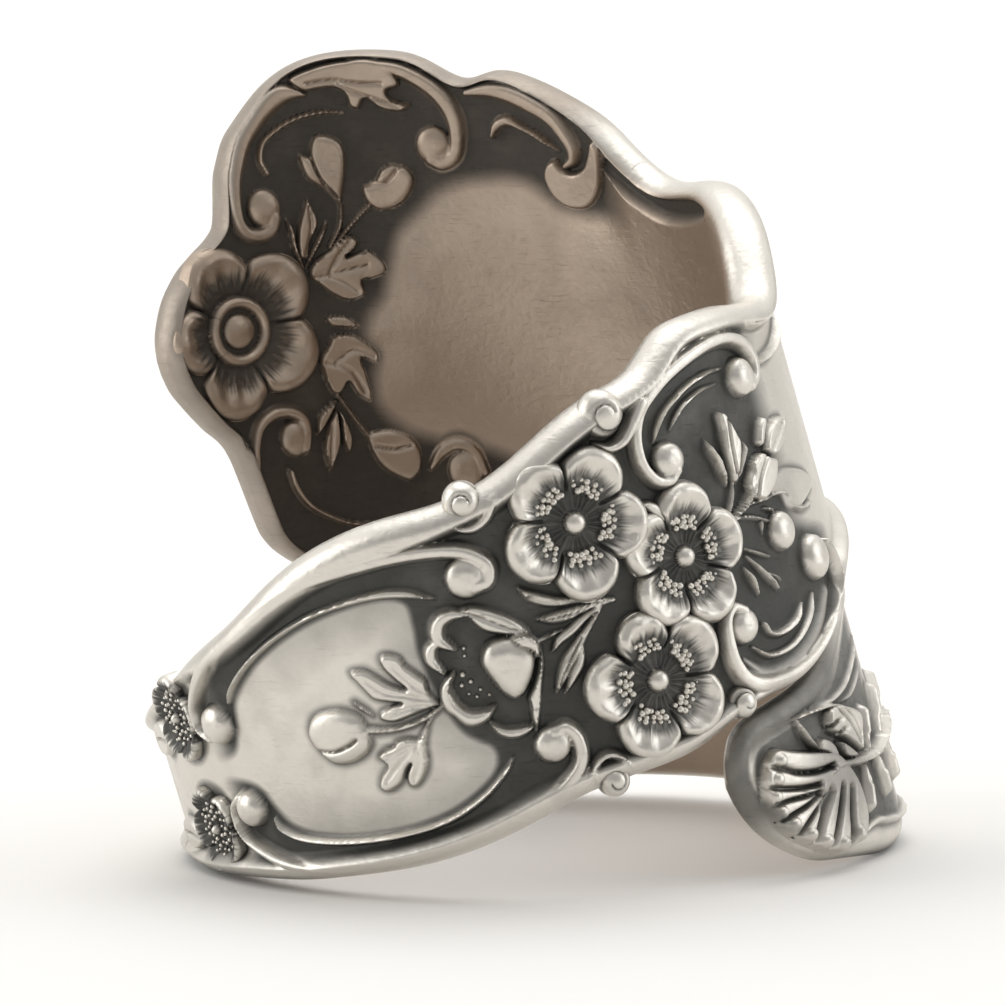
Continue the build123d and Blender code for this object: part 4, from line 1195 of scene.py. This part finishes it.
def blossoms():
    """Three broad flowers on the front, one with a petal tucked under, and two small ones at the waist."""
    flowers = []
    for angle, height, radius, turn, seed, second_petal in BLOSSOMS:
        flower = blossom(radius, turn, FLOWER_RISE, sizes=(1, second_petal, 1, 1, 1), seed=seed)
        flowers.append(set_on(flower, angle, height, lift=FLOWER_LIFT))
    for angle, height, radius, turn, seed in WAIST_BLOSSOMS:
        flower = blossom(radius, turn, WAIST_FLOWER_RISE, heart=0.12, seed=seed, spokes=180, rings=48,
                         dish=0.26)
        flowers.append(set_on(flower, angle, height, lift=WAIST_FLOWER_LIFT))
    return gathered("blossoms", flowers)


def blossom_anthers():
    """Anthers of the open flowers, seeds of the small ones, and grains in the cup flower."""
    grains = [set_on(anthers(radius, turn, FLOWER_RISE, seed), angle, height, lift=FLOWER_LIFT)
              for angle, height, radius, turn, seed, _ in BLOSSOMS]
    grains += [set_on(seeds(radius, WAIST_FLOWER_RISE, seed), angle, height, lift=FLOWER_LIFT)
               for angle, height, radius, turn, seed in WAIST_BLOSSOMS]
    for angle, height, size in CUP_GRAINS:
        grain = boss(size, size * 1.3, GRAIN_DETAIL, CUP_GRAIN_SHINE)
        grains.append(set_on(grain, angle, height, lift=CUP_GRAIN_LIFT))
    return gathered("blossom_anthers", grains)


def tip_blossom():
    """The flower at the end of the strip, on its inside, with a ring round its heart."""
    angle, height, radius, turn, seed = TIP_BLOSSOM
    flower = blossom(radius, turn, TIP_FLOWER_RISE, ring=0.325, heart=0.2, sizes=(1, 0.95, 0.8, 0.95, 1),
                     seed=seed, spokes=300, rings=80)
    return gathered("tip_blossom", [set_on(flower, angle, height, lift=TIP_FLOWER_LIFT, inside=True)])


def edge_knobs():
    """Knobs standing on the edges of the front."""
    return gathered("edge_knobs", [set_on(boss(radius, rise, KNOB_DETAIL, curl=curl), angle, height)
                                   for angle, height, radius, rise, curl in KNOBS])


silver = struck_silver()
bands = [low_end(), back_run(), front_band(), shoulder_band(), turning_band(), neck(), tip_root(), tip()]
for piece in bands + [blossoms(), blossom_anthers(), tip_blossom(), edge_knobs()]:
    piece.data.materials.clear()
    piece.data.materials.append(silver)
    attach(piece, "root")
for piece in bands:
    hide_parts("ring_band")


# The floor runs from before the ring to where it curves up, in metres
FLOOR_START, FLOOR_LENGTH = -0.3, 1.0
CURVE_START, CURVE_RADIUS = 0.35, 0.35
FLOOR_ROWS = 80
PAPER = (0.84, 0.825, 0.805, 1)
PALER_PAPER = (0.85, 0.84, 0.82, 1)


def paper_floor():
    """A pale sheet that lies under the ring and curves up behind it."""
    paper_sheet, _, row = sheet("floor", 3, FLOOR_ROWS)
    run = FLOOR_START + FLOOR_LENGTH * row / (FLOOR_ROWS - 1)
    bend = np.clip((run - CURVE_START) / CURVE_RADIUS, 0, 1) * math.pi / 2
    back = np.where(run < CURVE_START, run, CURVE_START + CURVE_RADIUS * np.sin(bend))
    up = CURVE_RADIUS * (1 - np.cos(bend))
    move_to(paper_sheet, np.stack([places_of(paper_sheet)[:, 0], back, up], -1))
    choose(paper_sheet)
    bpy.ops.object.shade_smooth()
    paper = fresh_material("pale_paper")
    fibre = noise(own_places(), 90.0, 3.0)
    shine = Wire.node("ShaderNodeBsdfPrincipled", None, Roughness=0.9,
                      Base_Color=blend(fibre, PAPER, PALER_PAPER))
    Wire.node("ShaderNodeOutputMaterial", None, Surface=Wire(shine.outputs["BSDF"]))
    paper_sheet.data.materials.append(paper)
    return paper_sheet


def soft_box(name, place, size, brightness, tint=(1, 1, 1), aim=(0, 0, 0.012)):
    """A soft box of a brightness, turned to the ring or another aim."""
    data = bpy.data.lights.new(name, "AREA")
    data.shape, data.size, data.size_y = "RECTANGLE", size[0], size[1]
    data.energy, data.color = brightness * math.pi * size[0] * size[1], tint
    lamp = bpy.data.objects.new(name, data)
    bpy.context.scene.collection.objects.link(lamp)
    lamp.location = place
    lamp.rotation_euler = (Vector(aim) - Vector(place)).to_track_quat("-Z", "Y").to_euler()


def pale_room():
    """Light from all round: brightest at the back and above, dimmer towards the camera."""
    room = bpy.data.worlds.new("pale_room")
    bpy.context.scene.world = room
    room.use_nodes = True
    Wire.tree = room.node_tree
    Wire.tree.nodes.clear()
    way = Wire(Wire.node("ShaderNodeTexCoord").outputs["Generated"])
    parts = Wire.node("ShaderNodeSeparateXYZ", None, Vector=way)
    y, z = (Wire(parts.outputs[i]) for i in (1, 2))
    behind = (y * 0.9 + 0.62).clipped()
    above = Wire.maths("MAXIMUM", z, 0.0)
    light = 0.37 + behind * behind * 0.6 + above * above * 0.35
    back = Wire.node("ShaderNodeBackground", None, Color=(1.0, 0.99, 0.975, 1), Strength=light)
    Wire.node("ShaderNodeOutputWorld", None, Surface=Wire(back.outputs["Background"]))


# How the ring was seen: the camera's tilts in radians, its distance in millimetres, its focal length
# and the place of the front's middle in picture points, and the picture's side
LOOKS_DOWN, TURNED = 0.19704, 0.28318
CAMERA_DISTANCE = 180.113
FOCAL = 5936.0
SEEN_MIDDLE = (449.22, 470.42)
PICTURE = 1005
SENSOR_WIDTH = 36.0


def long_lens():
    """The camera: a long lens a little above the floor's level, turned as the ring was seen."""
    ahead = AWAY * math.cos(LOOKS_DOWN) - UP_BORE * math.sin(LOOKS_DOWN)
    above = AWAY * math.sin(LOOKS_DOWN) + UP_BORE * math.cos(LOOKS_DOWN)
    right = ACROSS * math.cos(TURNED) - above * math.sin(TURNED)
    upward = ACROSS * math.sin(TURNED) + above * math.cos(TURNED)
    shift_x, shift_y = ((PICTURE / 2 - seen) / FOCAL for seen in SEEN_MIDDLE)
    gaze = (ahead + right * shift_x - upward * shift_y).normalized()
    side = gaze.cross(upward).normalized()
    data = bpy.data.cameras.new("camera")
    data.sensor_width = SENSOR_WIDTH
    data.lens = FOCAL / PICTURE * SENSOR_WIDTH
    data.clip_start, data.clip_end = 0.01, 10
    camera = bpy.data.objects.new("camera", data)
    bpy.context.scene.collection.objects.link(camera)
    turned = Matrix((side, side.cross(gaze), -gaze)).transposed().to_4x4()
    camera.matrix_world = Matrix.Translation(FRONT_MIDDLE - ahead * CAMERA_DISTANCE * MM) @ turned
    bpy.context.scene.camera = camera


paper_floor()
soft_box("top_box", (0.02, 0.06, 0.36), (0.36, 0.32), 1.12)
soft_box("left_box", (-0.32, -0.03, 0.13), (0.24, 0.30), 2.1, (1, 0.99, 0.97))
soft_box("right_box", (0.32, -0.05, 0.11), (0.22, 0.26), 1.5, (0.98, 0.99, 1))
soft_box("backdrop_box", (0.0, 0.3, 0.5), (0.8, 0.3), 2.5, aim=(0, 0.75, 0.2))
pale_room()
long_lens()
bpy.context.scene.view_settings.view_transform = "Standard"
